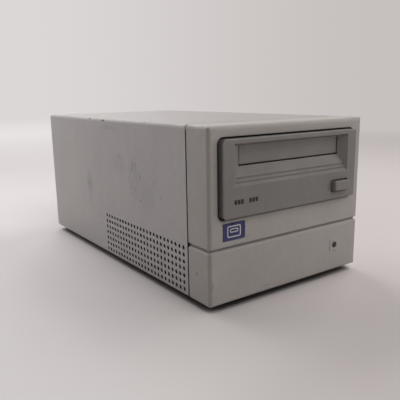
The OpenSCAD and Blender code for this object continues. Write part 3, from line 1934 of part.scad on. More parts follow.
top_cover();
base_chassis();
rear_panel();
front_bezel();
foot_at(-foot_x, foot_front_y);  // foot_front_left
foot_at(foot_x, foot_front_y);  // foot_front_right
foot_at(-foot_x, foot_rear_y);  // foot_rear_left
foot_at(foot_x, foot_rear_y);  // foot_rear_right
badge_plate();
power_light();
case_screws();
fan_frame();
fan_rotor();
fan_guard();
fan_screws();
bus_shell(-1);  // bus_shell_in
bus_shell(1);  // bus_shell_out
bus_inserts();
jack_posts();
number_switch_body();
number_wheel();
number_button(1);  // plus_button
number_button(-1);  // minus_button
inlet_housing();
inlet_pins();
switch_housing();
switch_rocker();
supply_board();
supply_transformer();
bulk_capacitor();
output_capacitors();
heat_sink();
drive_bracket();
drive_chassis();
drive_top_cover();
drive_bezel();
cartridge_door();
eject_button();
status_lenses();
front_board();
drive_board();
drive_connectors();
ribbon_cable();
power_harness();
mains_leads();
cage_guides();
cam_slider();
cartridge_cage();
loading_motor();
motor_pinion();
loading_gear();
lower_drum();
head_drum();
capstan();
pinch_arm();
pinch_roller();
reel(-1);  // supply_reel
reel(1);  // takeup_reel
tape_guide(-1);  // supply_guide
tape_guide(1);  // takeup_guide
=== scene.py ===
# External tape drive: surfaces, small detail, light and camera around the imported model
import json
import math

import bmesh
import bpy
from mathutils import Matrix, Vector
from mathutils.bvhtree import BVHTree


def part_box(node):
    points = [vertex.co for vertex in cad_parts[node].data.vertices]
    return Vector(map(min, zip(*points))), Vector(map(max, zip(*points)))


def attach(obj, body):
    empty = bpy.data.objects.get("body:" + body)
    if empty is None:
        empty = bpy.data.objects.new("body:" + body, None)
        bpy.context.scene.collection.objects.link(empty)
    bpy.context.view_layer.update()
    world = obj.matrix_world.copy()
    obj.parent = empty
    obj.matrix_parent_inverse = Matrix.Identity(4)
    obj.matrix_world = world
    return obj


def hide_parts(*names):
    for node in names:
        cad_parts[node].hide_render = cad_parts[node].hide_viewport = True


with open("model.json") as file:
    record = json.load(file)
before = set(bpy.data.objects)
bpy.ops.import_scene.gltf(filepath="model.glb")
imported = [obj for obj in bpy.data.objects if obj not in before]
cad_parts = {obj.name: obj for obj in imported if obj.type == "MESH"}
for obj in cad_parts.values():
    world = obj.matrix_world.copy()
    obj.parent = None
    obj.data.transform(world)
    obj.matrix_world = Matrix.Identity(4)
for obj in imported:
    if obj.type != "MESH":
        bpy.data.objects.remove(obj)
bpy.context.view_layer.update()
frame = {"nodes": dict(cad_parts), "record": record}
nodes = frame["nodes"]

MM = 0.001

# Middle, front and floor of the case, and middle and base of the drive, in the part's frame in mm
CASE_START = {"X": 0.0, "Y": -109.25, "Z": 3.5}
DRIVE_X = -1.15
DRIVE_Z = 50.45


def case_at(x, y, z):
    """Point in metres of a place on the case: x from the middle, y behind the front, z above its floor, in mm."""
    return Vector((CASE_START["X"] + x, CASE_START["Y"] + y, CASE_START["Z"] + z)) * MM


def drive_at(x, y, z):
    """Point in metres of a place on the drive: x from its middle, y behind the case's front, z over its base, in mm."""
    return Vector((DRIVE_X + x, CASE_START["Y"] + y, DRIVE_Z + z)) * MM


def link(name, data):
    """A new object with that data, linked to the scene."""
    obj = bpy.data.objects.new(name, data)
    bpy.context.scene.collection.objects.link(obj)
    return obj


# Camera: place and nearest sight in metres, angles in radians, lens and sensor in mm
CAMERA_AT = (-0.2008, -0.30245, 0.1130)
CAMERA_YAW = -0.617
CAMERA_PITCH = 0.211
CAMERA_ROLL = -0.017
CAMERA_LENS = 44.83
SENSOR_WIDTH = 36
NEAREST_SEEN = 0.01


def make_camera():
    data = bpy.data.cameras.new("camera")
    data.lens = CAMERA_LENS
    data.sensor_width = SENSOR_WIDTH
    data.clip_start = NEAREST_SEEN
    camera = link("camera", data)
    back = Vector((
        math.sin(CAMERA_YAW) * math.cos(CAMERA_PITCH),
        -math.cos(CAMERA_YAW) * math.cos(CAMERA_PITCH),
        math.sin(CAMERA_PITCH),
    ))
    right = (-back).cross(Vector((0, 0, 1))).normalized()
    up = right.cross(-back)
    turned_right = math.cos(CAMERA_ROLL) * right + math.sin(CAMERA_ROLL) * up
    turned_up = -math.sin(CAMERA_ROLL) * right + math.cos(CAMERA_ROLL) * up
    turn = Matrix((turned_right, turned_up, back)).transposed().to_4x4()
    camera.matrix_world = Matrix.Translation(CAMERA_AT) @ turn
    bpy.context.scene.camera = camera


make_camera()
bpy.context.scene.view_settings.view_transform = "Standard"


# Colours

def screen(r, g, b):
    """Linear colour of an 8-bit screen colour."""
    return tuple(((c / 255 + 0.055) / 1.055) ** 2.4 for c in (r, g, b)) + (1.0,)


def tint(colour, share, lift=0.0):
    """The colour made darker or lighter by a share, and lifted."""
    return tuple(min(1.0, c * share + lift) for c in colour[:3]) + (1.0,)


CASE_COLOUR = screen(182, 178, 177)
BEZEL_COLOUR = screen(175, 170, 166)
DRIVE_COLOUR = screen(127, 124, 121)
LENS_COLOUR = screen(9, 8, 8)
LENS_RUB_AND_HIGHLIGHT = screen(30, 28, 28)
PRIMER = screen(58, 52, 49)
# Near black, for painted shade
PAINTED_SHADE_COLOUR = screen(40, 37, 36)
# Pale dust, which also paints a sheen on faces that look up
DUST_AND_SHEEN_COLOUR = screen(226, 219, 214)
SOLDER_MASK = screen(38, 92, 54)
TINNED = screen(176, 170, 150)

# Backdrop and floor, which darken from the left of the view to its right as painted light: colours, the direction
# towards the right, and how far along it the edges of the view lie
BACKDROP_LEFT = screen(219, 215, 214)
BACKDROP_RIGHT = screen(199, 192, 191)
FAR_FLOOR_LEFT = screen(233, 229, 228)
PAPER_LIT_LEFT = screen(250, 246, 246)
PAPER_SHADED_RIGHT = screen(234, 227, 226)
RIGHT_OF_VIEW = (0.816, -0.578, 0.0)
VIEW_EDGE = 0.35


# Shader nodes

# Range that holds most of a noise pattern
NOISE_LOW = 0.3
NOISE_HIGH = 0.7

# Cosines between a face and its rounded normal where a pale edge, rubbed wear with a painted highlight, starts and is
# full, and nodes' sample counts
EDGE_START = 0.985
EDGE_FULL = 0.88
EDGE_SAMPLES = 6
ROUNDING_SAMPLES = 4

# Slopes where faces that look up start to count and count in full
UP_START = 0.6
UP_FULL = 0.95

# A ragged spot: its noise, and the shares of its radius where it starts and is full
SPOT_NOISE = (1.2, 3.0)
SPOT_START = 1.0
SPOT_FULL = 0.45


class Wiring:
    """Short ways to add shader nodes to a tree and to join them."""

    def __init__(self, tree):
        self.tree = tree
        tree.nodes.clear()

    def feed(self, socket, value):
        """Links a socket to another one, or sets it to a plain value."""
        if isinstance(value, bpy.types.NodeSocket):
            self.tree.links.new(value, socket)
        else:
            socket.default_value = value

    def node(self, kind, values=None, **settings):
        made = self.tree.nodes.new("ShaderNode" + kind)
        for key, value in settings.items():
            setattr(made, key, value)
        for key, value in (values or {}).items():
            self.feed(made.inputs[key], value)
        return made

    def calc(self, how, a, b=0.0):
        return self.node("Math", {0: a, 1: b}, operation=how).outputs[0]

    def times(self, a, b):
        return self.calc("MULTIPLY", a, b)

    def most(self, a, b):
        return self.calc("MAXIMUM", a, b)

    def vector(self, how, a, b=None):
        """Result of a vector operation: a number for a length or a dot product, or else a vector."""
        values = {0: a} if b is None else {0: a, 1: b}
        outputs = self.node("VectorMath", values, operation=how).outputs
        return outputs["Value" if how in ("LENGTH", "DOT_PRODUCT") else "Vector"]

    def spread(self, value, low, high, start=0.0, end=1.0):
        """Smooth step of value from low to high, written between start and end."""
        values = {"Value": value, "From Min": low, "From Max": high, "To Min": start, "To Max": end}
        return self.node("MapRange", values, interpolation_type="SMOOTHSTEP").outputs[0]

    def pick(self, vector, axis):
        """One part of a vector: X, Y or Z."""
        return self.node("SeparateXYZ", {0: vector}).outputs[axis]

    def mix(self, share, a, b, how="MIX"):
        made = self.node("Mix", data_type="RGBA", blend_type=how)
        for index, value in ((0, share), (6, a), (7, b)):
            self.feed(made.inputs[index], value)
        return made.outputs[2]

    def seen(self):
        """1 on rays from the camera, straight or by way of metal or glass, and 0 on the others."""
        path = self.node("LightPath").outputs
        return self.most(self.most(path["Is Camera Ray"], path["Is Glossy Ray"]), path["Is Transmission Ray"])

    def aside(self, direction):
        """0 in directions to the left of the view, 1 in those to its right."""
        return self.spread(self.vector("DOT_PRODUCT", direction, RIGHT_OF_VIEW), -VIEW_EDGE, VIEW_EDGE)


class Look(Wiring):
    """A procedural material while it is being wired, with its pattern fixed to the piece and lengths given in mm."""

    def __init__(self, name, rough=0.5, metal=0.0, coat=0.0):
        self.material = bpy.data.materials.new(name)
        self.material.use_nodes = True
        super().__init__(self.material.node_tree)
        self.shader = self.node("BsdfPrincipled", {"Roughness": rough, "Metallic": metal, "Coat Weight": coat})
        self.out = self.node("OutputMaterial", {"Surface": self.shader.outputs[0]})
        self.place = self.node("TexCoord").outputs["Object"]

    def noise(self, size, detail, stretch=None):
        """Noise from 0 to 1 with blotches about that size."""
        at = self.place
        if stretch:
            at = self.node("Mapping", {"Vector": at, "Scale": stretch}).outputs[0]
        return self.node("TexNoise", {"Vector": at, "Scale": 1 / (size * MM), "Detail": detail}).outputs[0]

    def contrast(self, pattern, start, end):
        """The pattern's main range, written between start and end."""
        return self.spread(pattern, NOISE_LOW, NOISE_HIGH, start, end)

    def shade(self, colour, pattern, amount):
        """The colour, made lighter and darker by the share amount after the pattern."""
        return self.mix(1.0, colour, self.contrast(pattern, 1 - amount, 1 + amount), "MULTIPLY")

    def edges(self, radius):
        """1 on sharp outer and inner edges, 0 on faces."""
        soft = self.node("Bevel", {"Radius": radius * MM}, samples=EDGE_SAMPLES).outputs[0]
        flat = self.node("NewGeometry").outputs["Normal"]
        return self.spread(self.vector("DOT_PRODUCT", soft, flat), EDGE_START, EDGE_FULL)

    def spot(self, centre, radii, ragged=0.5):
        """1 inside an ellipsoid round a point in metres, with a ragged rim, 0 outside it."""
        away = self.vector("SUBTRACT", self.place, centre)
        away = self.vector("LENGTH", self.vector("DIVIDE", away, Vector(radii) * MM))
        away = self.calc("ADD", away, self.times(self.noise(*SPOT_NOISE), ragged))
        return self.spread(away, SPOT_START + ragged / 2, SPOT_FULL + ragged / 2)

    def up(self):
        """1 on faces that look up, 0 on the others."""
        flat = self.node("NewGeometry").outputs["Normal"]
        return self.spread(self.pick(flat, "Z"), UP_START, UP_FULL)

    def along(self, axis, low, high, both=False):
        """Smooth step from low to high along an axis of the case, or to both sides of its middle."""
        place = self.pick(self.place, axis)
        if both:
            place = self.calc("ABSOLUTE", place)
        return self.spread(place, (CASE_START[axis] + low) * MM, (CASE_START[axis] + high) * MM)

    def relief(self, height, depth, rounding=0.0):
        """Normal bent by a height pattern of that depth, with edges rounded by that radius."""
        values = {"Height": height, "Distance": depth * MM}
        if rounding:
            values["Normal"] = self.node("Bevel", {"Radius": rounding * MM}, samples=ROUNDING_SAMPLES).outputs[0]
        return self.node("Bump", values).outputs[0]

    def finish(self, colour, normal, rough=None):
        self.feed(self.shader.inputs["Base Color"], colour)
        self.feed(self.shader.inputs["Normal"], normal)
        if rough is not None:
            self.feed(self.shader.inputs["Roughness"], rough)
        return self.material


# Painted shade

# The cover's bare inside and the walls of its vents, darkened near black as painted shade: places along the case's axes
# in mm where it starts and is full, and its darkness
SHADED_BARE_SIDE = (58.36, 58.22)
SHADED_BARE_SIDE_TOP = (91.7, 91.3)
SHADED_BARE_TOP_SIDE = (57.2, 56.8)
SHADED_BARE_TOP = (93.4, 93.1)
SHADED_BARE_REAR = (218.85, 218.65)
SHADED_BARE_FOOT = (0.7, 1.0)
SHADED_BARE_DARKNESS = 0.94

# Rounded rectangles on the front in mm: the middle's x and z on the drive, half width, half height, corner radius
OPENING = (0, 19.8, 51.7, 21.1, 3.5)
FACE = (0, 20.2, 50.8, 20.2, 2.6)
UPPER_STEP = (0, 20.17, 41.4, 0.46, 0.2)
LOWER_STEP = (0, 18.07, 42.4, 0.42, 0.2)
RECESS_TOP = (0, 37.15, 43.2, 0.7, 0.2)
SILL = (0.9, 26.2, 38.6, 0.5, 0.2)
DOORWAY = (0.9, 31.7, 38.6, 6.1, 0.2)
SLOT = (36.45, 8.05, 7.05, 3.3, 0.5)
BELOW_SLOT = (36.2, 4.35, 6.4, 0.6, 0.4)

# Half of such a rectangle's depth in mm, which takes it through every piece
THROUGH = 9000

# Painted shade on the bezel: places in mm where each starts and is full, and its darkness
LIP_Y = (18.75, 18.8)
OPENING_RIM = (0.7, 0.1)
OPENING_DARKNESS = 0.8
GROOVE_Z = 30.5
GROOVE_SIDES = (1.0, 0.2)
GROOVE_DARKNESS = 0.5
CORNER_X = (56.7, 57.5)
CORNER_Y = (1.95, 1.15)
CORNER_DARKNESS = 0.22
BEZEL_DARKNESS = 0.93

# Painted shade on the drive: rectangle, distances from it and depths on the case in mm where the shade starts and
# is full, and darkness
DRIVE_PAINTED_SHADE = (
    (FACE, (-0.6, -0.05), (-3.15, -2.55), 0.5),
    (UPPER_STEP, (0.2, -0.1), (-3.2, -3.0), 0.3),
    (LOWER_STEP, (0.2, -0.1), (-3.2, -3.0), 0.3),
    (RECESS_TOP, (0.2, -0.1), (-3.2, -3.0), 0.28),
    (SILL, (0.2, -0.1), (1.15, 1.35), 1.0),
    (DOORWAY, (0.4, 0.0), (1.6, 1.7), 1.0),
)
SLOT_OUTER = (0.55, 0.1)
SLOT_INNER = (-0.25, -0.1)
BELOW_SLOT_RIM = (0.1, -0.2)
SLOT_DARKNESS = 0.75
DRIVE_DARKNESS = 0.92


def inside_cover(look):
    """The unpainted inside of the cover and the walls of its vents, darkened near black as painted shade."""
    side = look.times(look.along("X", *SHADED_BARE_SIDE, both=True), look.along("Z", *SHADED_BARE_SIDE_TOP))
    top = look.times(look.along("X", *SHADED_BARE_TOP_SIDE, both=True), look.along("Z", *SHADED_BARE_TOP))
    within = look.times(look.along("Y", *SHADED_BARE_REAR), look.along("Z", *SHADED_BARE_FOOT))
    return look.times(look.times(look.most(side, top), within), SHADED_BARE_DARKNESS)


def outside(look, rectangle, start, full):
    """Smooth step over the distance in mm from a rounded rectangle, which is below zero inside it."""
    x, z, half_w, half_h, r = rectangle
    place = look.vector("ABSOLUTE", look.vector("SUBTRACT", look.place, drive_at(x, 0, z)))
    place = look.vector("SUBTRACT", place, Vector((half_w - r, THROUGH, half_h - r)) * MM)
    place = look.vector("MAXIMUM", place, (0.0, 0.0, 0.0))
    away = look.calc("SUBTRACT", look.vector("LENGTH", place), r * MM)
    return look.spread(away, start * MM, full * MM)


def darkest(look, shade_masks):
    """The strongest of several masks, each times its darkness."""
    worst = 0.0
    for mask, darkness in shade_masks:
        worst = look.most(worst, look.times(mask, darkness))
    return worst


def bezel_soil(look):
    """Painted shade on the lip behind the seam, on the rim of the drive's opening, in the groove and on the front
    corners.
    """
    height = look.calc("ABSOLUTE", look.calc("SUBTRACT", look.pick(look.place, "Z"), case_at(0, 0, GROOVE_Z).z))
    start, full = GROOVE_SIDES
    return look.times(darkest(look, (
        (look.along("Y", *LIP_Y), 1.0),
        (outside(look, OPENING, *OPENING_RIM), OPENING_DARKNESS),
        (look.spread(height, start * MM, full * MM), GROOVE_DARKNESS),
        (look.times(look.along("X", *CORNER_X, both=True), look.along("Y", *CORNER_Y)), CORNER_DARKNESS),
    )), BEZEL_DARKNESS)


def drive_soil(look):
    """Painted shade on the sides of the drive's face, in its recess, in the pocket round its door, and round and below
    the eject button's slot.
    """
    slot = look.times(outside(look, SLOT, *SLOT_OUTER), outside(look, SLOT, *SLOT_INNER))
    shade_masks = [(look.most(slot, outside(look, BELOW_SLOT, *BELOW_SLOT_RIM)), SLOT_DARKNESS)]
    for rectangle, rim, depth, darkness in DRIVE_PAINTED_SHADE:
        shade_masks.append((look.times(outside(look, rectangle, *rim), look.along("Y", *depth)), darkness))
    return look.times(darkest(look, shade_masks), DRIVE_DARKNESS)


# Plastic

# Noise patterns as size in mm and detail, with the share by which they shade the colour or the range they write
PLASTIC_CLOUDS = (30, 3.0)
PLASTIC_MOTTLE = (3.5, 4.0)
PLASTIC_MOTTLE_SHARE = 0.5
PLASTIC_EDGE = 0.6
PLASTIC_RUBS_AND_HIGHLIGHTS = (6, 4.0)
PLASTIC_RUB_AND_HIGHLIGHT_RANGE = (0.35, 0.7, 0.15, 0.7)
PLASTIC_RUB_AND_HIGHLIGHT_TINT = (1.3, 0.02)
PLASTIC_MARK_TINT = 0.35
PLASTIC_SHEEN = (12, 4.0)
PLASTIC_SMOOTHER = 0.05
PLASTIC_ROUGHER = 0.07
PLASTIC_ROUNDING = 0.3
GRAIN = 0.5
GRAIN_DEPTH = 0.012
GRAIN_DETAIL = 2.0


def moulded(name, colour, rough=0.5, shade=0.06, grain=GRAIN, depth=GRAIN_DEPTH, rub_and_highlight_colour=None, marks=(), painted_shade=None,
            dust_and_sheen=0.0):
    """Moulded plastic: spark-eroded grain, faint flow clouds, pale rubbed edges that also paint highlights, pale dust
    with a painted sheen on faces that look up, dark marks, and painted shade in given places.
    """
    look = Look(name)
    base = look.shade(colour, look.noise(*PLASTIC_CLOUDS), shade)
    base = look.shade(base, look.noise(*PLASTIC_MOTTLE), shade * PLASTIC_MOTTLE_SHARE)
    # Pale rubbed edges, partly wear and partly a painted highlight
    rubs_and_highlights = look.times(look.edges(PLASTIC_EDGE), look.spread(look.noise(*PLASTIC_RUBS_AND_HIGHLIGHTS), *PLASTIC_RUB_AND_HIGHLIGHT_RANGE))
    base = look.mix(rubs_and_highlights, base, rub_and_highlight_colour or tint(colour, *PLASTIC_RUB_AND_HIGHLIGHT_TINT))
    # Pale dust with a painted sheen on faces that look up
    if dust_and_sheen:
        base = look.mix(look.times(look.up(), dust_and_sheen), base, DUST_AND_SHEEN_COLOUR)
    for centre, radii, darkness in marks:
        base = look.mix(look.times(look.spot(centre, radii), darkness), base, tint(colour, PLASTIC_MARK_TINT))
    # Painted shade in the places that the mask gives
    if painted_shade:
        base = look.mix(painted_shade(look), base, PAINTED_SHADE_COLOUR)
    sheen = look.contrast(look.noise(*PLASTIC_SHEEN), rough - PLASTIC_SMOOTHER, rough + PLASTIC_ROUGHER)
    return look.finish(base, look.relief(look.noise(grain, GRAIN_DETAIL), depth, PLASTIC_ROUNDING), sheen)


# Paint

# Noise patterns as size in mm, detail and stretch along x, y and z, and other lengths in mm
PAINT_SMEARS = (20, 4.0, (1.0, 2.2, 0.5))
PAINT_SHADING = (((50, 3.0), 0.035), (PAINT_SMEARS, 0.03), ((1.8, 3.0), 0.025))
PAINT_RUBS_AND_HIGHLIGHTS = (8, 4.0)
PAINT_RUB_AND_HIGHLIGHT_RANGE = (0.4, 0.7, 0.05, 0.6)
PAINT_RUB_AND_HIGHLIGHT_TINT = 1.22
PAINT_EDGE = 0.7
PAINT_STIPPLE = (0.55, 2.0)
PAINT_WAVES = (30, 1.0)
PAINT_WAVE_HEIGHT = 6.0
PAINT_RELIEF = 0.014
PAINT_ROUNDING = 0.3
PAINT_ROUGH = (0.42, 0.52)

# Darker towards the floor: heights in mm where it starts and is full, its share and its darkness
LOW_DARKENING_Z = (22.5, 0.5)
LOW_DARKENING_SHARE = 0.16
LOW_DARKENING_TINT = 0.62

# Handling smears and chips
SMEAR_STREAKS = (1.1, 3.0, (1.0, 1.0, 0.25))
SMEAR_STREAK_RANGE = (0.3, 0.6)
SMEAR_TINT = 0.22
SMEAR_RAGGED = 0.9
CHIP_RAGGED = 1.1


def painted(name, colour, smears=(), chips=()):
    """Painted sheet steel: stippled satin paint, pale rubbed edges that also paint highlights, handling smears, darker
    towards the floor, chips down to dark primer, and painted shade on the bare inside.
    """
    look = Look(name)
    base = colour
    for pattern, amount in PAINT_SHADING:
        base = look.shade(base, look.noise(*pattern), amount)
    # Darker towards the floor
    base = look.mix(look.times(look.along("Z", *LOW_DARKENING_Z), LOW_DARKENING_SHARE), base, tint(colour, LOW_DARKENING_TINT))
    # Pale rubbed edges, partly wear and partly a painted highlight
    rubs_and_highlights = look.times(look.edges(PAINT_EDGE), look.spread(look.noise(*PAINT_RUBS_AND_HIGHLIGHTS), *PAINT_RUB_AND_HIGHLIGHT_RANGE))
    base = look.mix(rubs_and_highlights, base, tint(colour, PAINT_RUB_AND_HIGHLIGHT_TINT))
    for centre, radii, darkness in smears:
        streaks = look.spread(look.noise(*SMEAR_STREAKS), *SMEAR_STREAK_RANGE)
        spot = look.times(look.spot(centre, radii, SMEAR_RAGGED), streaks)
        base = look.mix(look.times(spot, darkness), base, tint(colour, SMEAR_TINT))
    gone = 0.0
    for centre, radii in chips:
        gone = look.most(gone, look.spot(centre, radii, CHIP_RAGGED))
    if chips:
        base = look.mix(gone, base, PRIMER)
    # The bare inside and the vents' walls, darkened near black as painted shade
    base = look.mix(inside_cover(look), base, PAINTED_SHADE_COLOUR)
    waves = look.times(look.noise(*PAINT_WAVES), PAINT_WAVE_HEIGHT)
    surface = look.calc("SUBTRACT", look.calc("ADD", look.noise(*PAINT_STIPPLE), waves), gone)
    sheen = look.contrast(look.noise(*PAINT_SMEARS), *PAINT_ROUGH)
    return look.finish(base, look.relief(surface, PAINT_RELIEF, PAINT_ROUNDING), sheen)


# Metal

# Noise patterns as size in mm and detail, and other lengths in mm
METAL_SPANGLE = 6
METAL_BRUSHING = (0.6, 4.0)
METAL_PATTERN_SHARE = 0.07
METAL_SMUDGES = (20, 4.0)
METAL_SMUDGE_SHARE = 0.06
METAL_DULL = (9, 5.0)
METAL_DULL_RANGE = (0.35, 0.7)
METAL_SMOOTHER = 0.06
METAL_ROUGHER = 0.14
METAL_RELIEF = 0.006
METAL_ROUNDING = 0.2


def plated(name, colour, rough, brushed):
    """Plated or bare metal: crystal spangle, or brushing with that stretch, with smudges and duller places."""
    look = Look(name, metal=1.0)
    if brushed:
        pattern = look.noise(*METAL_BRUSHING, brushed)
    else:
        pattern = look.node("TexVoronoi", {"Vector": look.place, "Scale": 1 / (METAL_SPANGLE * MM)}).outputs["Color"]
    base = look.shade(colour, pattern, METAL_PATTERN_SHARE)
    base = look.shade(base, look.noise(*METAL_SMUDGES), METAL_SMUDGE_SHARE)
    sheen = look.spread(look.noise(*METAL_DULL), *METAL_DULL_RANGE, rough - METAL_SMOOTHER, rough + METAL_ROUGHER)
    return look.finish(base, look.relief(pattern, METAL_RELIEF, METAL_ROUNDING), sheen)


# Circuit boards

# Ground areas, tracks and pads as textures with scales per metre, and the distances in a cell where they fade
BOARD_GRID = {"Scale": 170.0, "Mortar Size": 0.035, "Mortar Smooth": 0.1}
BOARD_LANES = {"Scale": 210.0}
BOARD_LANE_EDGE = (0.16, 0.1)
BOARD_PADS = {"Scale": 400.0}
BOARD_PAD_EDGE = (0.13, 0.09)
BOARD_PAD_SHARE = 0.8
BOARD_GAP_TINT = 0.55
BOARD_CLOUDS = (10, 3.0)
BOARD_CLOUD_SHARE = 0.08
BOARD_ROUGH = 0.3
BOARD_COAT = 0.3
BOARD_RELIEF = 0.03
BOARD_ROUNDING = 0.2


def board(name, mask):
    """Circuit board: solder mask over copper tracks and ground areas, with tinned pads."""
    look = Look(name, BOARD_ROUGH, coat=BOARD_COAT)
    at = {"Vector": look.place}
    grid = look.node("TexBrick", {**at, **BOARD_GRID}, offset=0.5).outputs["Fac"]
    lanes = look.node("TexVoronoi", {**at, **BOARD_LANES}, distance="MANHATTAN", feature="F1").outputs["Distance"]
    pads = look.node("TexVoronoi", {**at, **BOARD_PADS}).outputs["Distance"]
    tracks = look.most(grid, look.spread(lanes, *BOARD_LANE_EDGE))
    base = look.mix(tracks, tint(mask, BOARD_GAP_TINT), mask)
    base = look.mix(look.times(look.spread(pads, *BOARD_PAD_EDGE), BOARD_PAD_SHARE), base, TINNED)
    base = look.shade(base, look.noise(*BOARD_CLOUDS), BOARD_CLOUD_SHARE)
    return look.finish(base, look.relief(tracks, BOARD_RELIEF, BOARD_ROUNDING))


# Wear on the case

# Smears on the left side: place along y and height on the case, half length and half height in mm, and darkness
SMEARS = (
    (145.3, 46.5, 1.3, 6.2, 0.55), (148.6, 47.5, 1.2, 4.5, 0.3), (78.8, 66.5, 1.0, 3.6, 0.55),
    (75.0, 65.8, 1.0, 4.6, 0.45), (69.5, 60.6, 1.6, 3.4, 0.3), (70.4, 46.0, 1.6, 1.6, 0.5),
    (97.5, 71.0, 3.2, 3.0, 0.25), (45.7, 52.0, 1.6, 2.0, 0.22), (147.0, 34.0, 1.8, 4.0, 0.22),
    (53.0, 58.0, 1.2, 3.0, 0.2), (112.0, 88.5, 14.0, 2.2, 0.22), (83.0, 43.0, 1.2, 2.4, 0.22),
    (165.0, 62.0, 1.5, 5.0, 0.15), (30.0, 66.0, 1.2, 4.0, 0.15),
    (78.0, 58.0, 9.0, 17.0, 0.22), (146.0, 46.0, 7.0, 14.0, 0.17), (98.0, 66.0, 13.0, 9.0, 0.15),
    (62.0, 48.0, 10.0, 12.0, 0.12),
)
SMEAR_DEPTH = 4

# Every third smear comes back on the right side, further back, lower and paler
RIGHT_SMEARS = SMEARS[::3]
RIGHT_SHIFT_Y = 20
RIGHT_SHIFT_Z = -8
RIGHT_PALER = 0.8

# Chips at the left side's upper edge: place along y and height on the case, half length and half height in mm
CHIPS = ((140.6, 93.4, 2.4, 0.8), (118.0, 92.9, 3.0, 1.0), (101.8, 94.0, 1.8, 0.7), (63.0, 93.8, 1.2, 0.5))
CHIP_DEPTH = 1.8
SIDE_X = -58.5

# Marks on the bezel: place on the case and radii in mm, and darkness
BEZEL_MARKS = (
    ((SIDE_X, 11.3, 16.2), (2, 1.1, 1.4), 0.6),
    ((-56.6, 1.2, 12.0), (0.8, 2, 3.8), 0.45),
    ((-20.0, 0, 4.0), (4, 1, 0.6), 0.3),
)

cover_smears = [(case_at(SIDE_X, y, z), (SMEAR_DEPTH, length, height), darkness)
                for y, z, length, height, darkness in SMEARS]
cover_smears += [(case_at(-SIDE_X, y + RIGHT_SHIFT_Y, z + RIGHT_SHIFT_Z), (SMEAR_DEPTH, length, height),
                  darkness * RIGHT_PALER) for y, z, length, height, darkness in RIGHT_SMEARS]
cover_chips = [(case_at(SIDE_X, y, z), (CHIP_DEPTH, length, height)) for y, z, length, height in CHIPS]
bezel_marks = [(case_at(*place), radii, darkness) for place, radii, darkness in BEZEL_MARKS]

# Plain plastics: screen colour, roughness, shading, and where it differs the size of the grain and its depth in mm
PLASTICS = {
    "dark_plastic": ((38, 37, 38), 0.42, 0.12),
    "pale_plastic": ((222, 220, 210), 0.4, 0.04),
    "rubber": ((34, 33, 33), 0.75, 0.15, 0.9, 0.04),
    "tape_wrap": ((202, 168, 70), 0.25, 0.08, 2),
    "badge": ((41, 49, 102), 0.3, 0.06, 0.9, 0.004),
    "cable_grey": ((150, 150, 150), 0.4, 0.05),
    "cable_red": ((168, 36, 30), 0.4, 0.08),
    "cable_blue": ((52, 84, 150), 0.4, 0.08),
    "print_dark": ((62, 58, 58), 0.5, 0.15, 0.6, 0.003),
    "print_pale": ((214, 212, 210), 0.42, 0.08, 0.6, 0.003),
}

# Metals: screen colour, roughness, and stretch of the brushing
METALS = {
    "zinc_sheet": ((196, 197, 196), 0.38, None),
    "steel": ((186, 187, 190), 0.28, (1.0, 1.0, 0.08)),
    "aluminium": ((208, 209, 212), 0.3, (0.06, 0.06, 1.0)),
    "contact": ((222, 206, 150), 0.22, (1.0, 0.1, 1.0)),
}

looks = {
    "cover_paint": painted("cover_paint", CASE_COLOUR, cover_smears, cover_chips),
    "panel_paint": painted("panel_paint", CASE_COLOUR),
    "bezel_plastic": moulded("bezel_plastic", BEZEL_COLOUR, shade=0.035, marks=bezel_marks, painted_shade=bezel_soil, dust_and_sheen=0.4),
    "drive_plastic": moulded("drive_plastic", DRIVE_COLOUR, shade=0.04, painted_shade=drive_soil),
    "lens": moulded("lens", LENS_COLOUR, 0.3, 0.2, 1.2, 0.004, rub_and_highlight_colour=LENS_RUB_AND_HIGHLIGHT),
    "board": board("board", SOLDER_MASK),
}
for slot, (colour, *rest) in PLASTICS.items():
    looks[slot] = moulded(slot, screen(*colour), *rest)
for slot, (colour, *rest) in METALS.items():
    looks[slot] = plated(slot, screen(*colour), *rest)


def dress(obj, look):
    """Gives a piece that material in every slot."""
    if not obj.material_slots:
        obj.data.materials.append(looks[look])
    for slot in obj.material_slots:
        slot.material = looks[look]


for part in frame["record"]["subparts"]:
    dress(nodes[part["node"]], part["material_slot"])
dress(nodes["rear_panel"], "panel_paint")


# Stage

# Floor in metres, and the share of its radius that its border takes
FLOOR_R = 4.0
FLOOR_BORDER = 0.7
FLOOR_SEGMENTS = 96
FLOOR_ROUGH = 0.75

# The floor's paper, with noise patterns as size in mm and detail
PAPER_CLOUDS = (120, 3.0)
PAPER_CLOUD_SHARE = 0.008
PAPER_GRAIN = (1, 2.0)
PAPER_RELIEF = 0.01

# Contact shadow: its reach in metres, and the openness where it starts and is full, written as its darkness
CONTACT_REACH = 0.03
CONTACT_SAMPLES = 8
CONTACT_RANGE = (0.6, 0.15, 0.0, 0.9)

# Distances in metres where the floor starts to glow and glows in full, and where it takes the wall's colour
GLOW_RANGE = (0.45, 1.3)
WALL_RANGE = (0.9, 2.6)

WORLD_COLOUR = (1.0, 0.985, 0.98, 1.0)
WORLD_STRENGTH = 0.015
LAMP_COLOUR = (1.0, 0.98, 0.97)

# Softboxes: name, place, aim and size in metres, and power in watts
SOFTBOXES = (
    ("key", (0.1, 1.1, 1.0), (0, 0, 0.05), (1.2, 0.8), 8.9),
    ("side", (-0.32, 0.3, 0.25), (-0.06, 0.08, 0.05), (0.25, 0.25), 0.43),
    ("front_right", (0.45, -0.45, 0.3), (0.03, -0.1, 0.04), (0.4, 0.4), 0.84),
    ("right_top", (0.7, 0, 0.9), (0.03, -0.1, 0), (0.6, 0.6), 2.95),
    ("front_top", (-0.1, -0.8, 1.0), (0, -0.1, 0), (0.8, 0.6), 3.4),
)


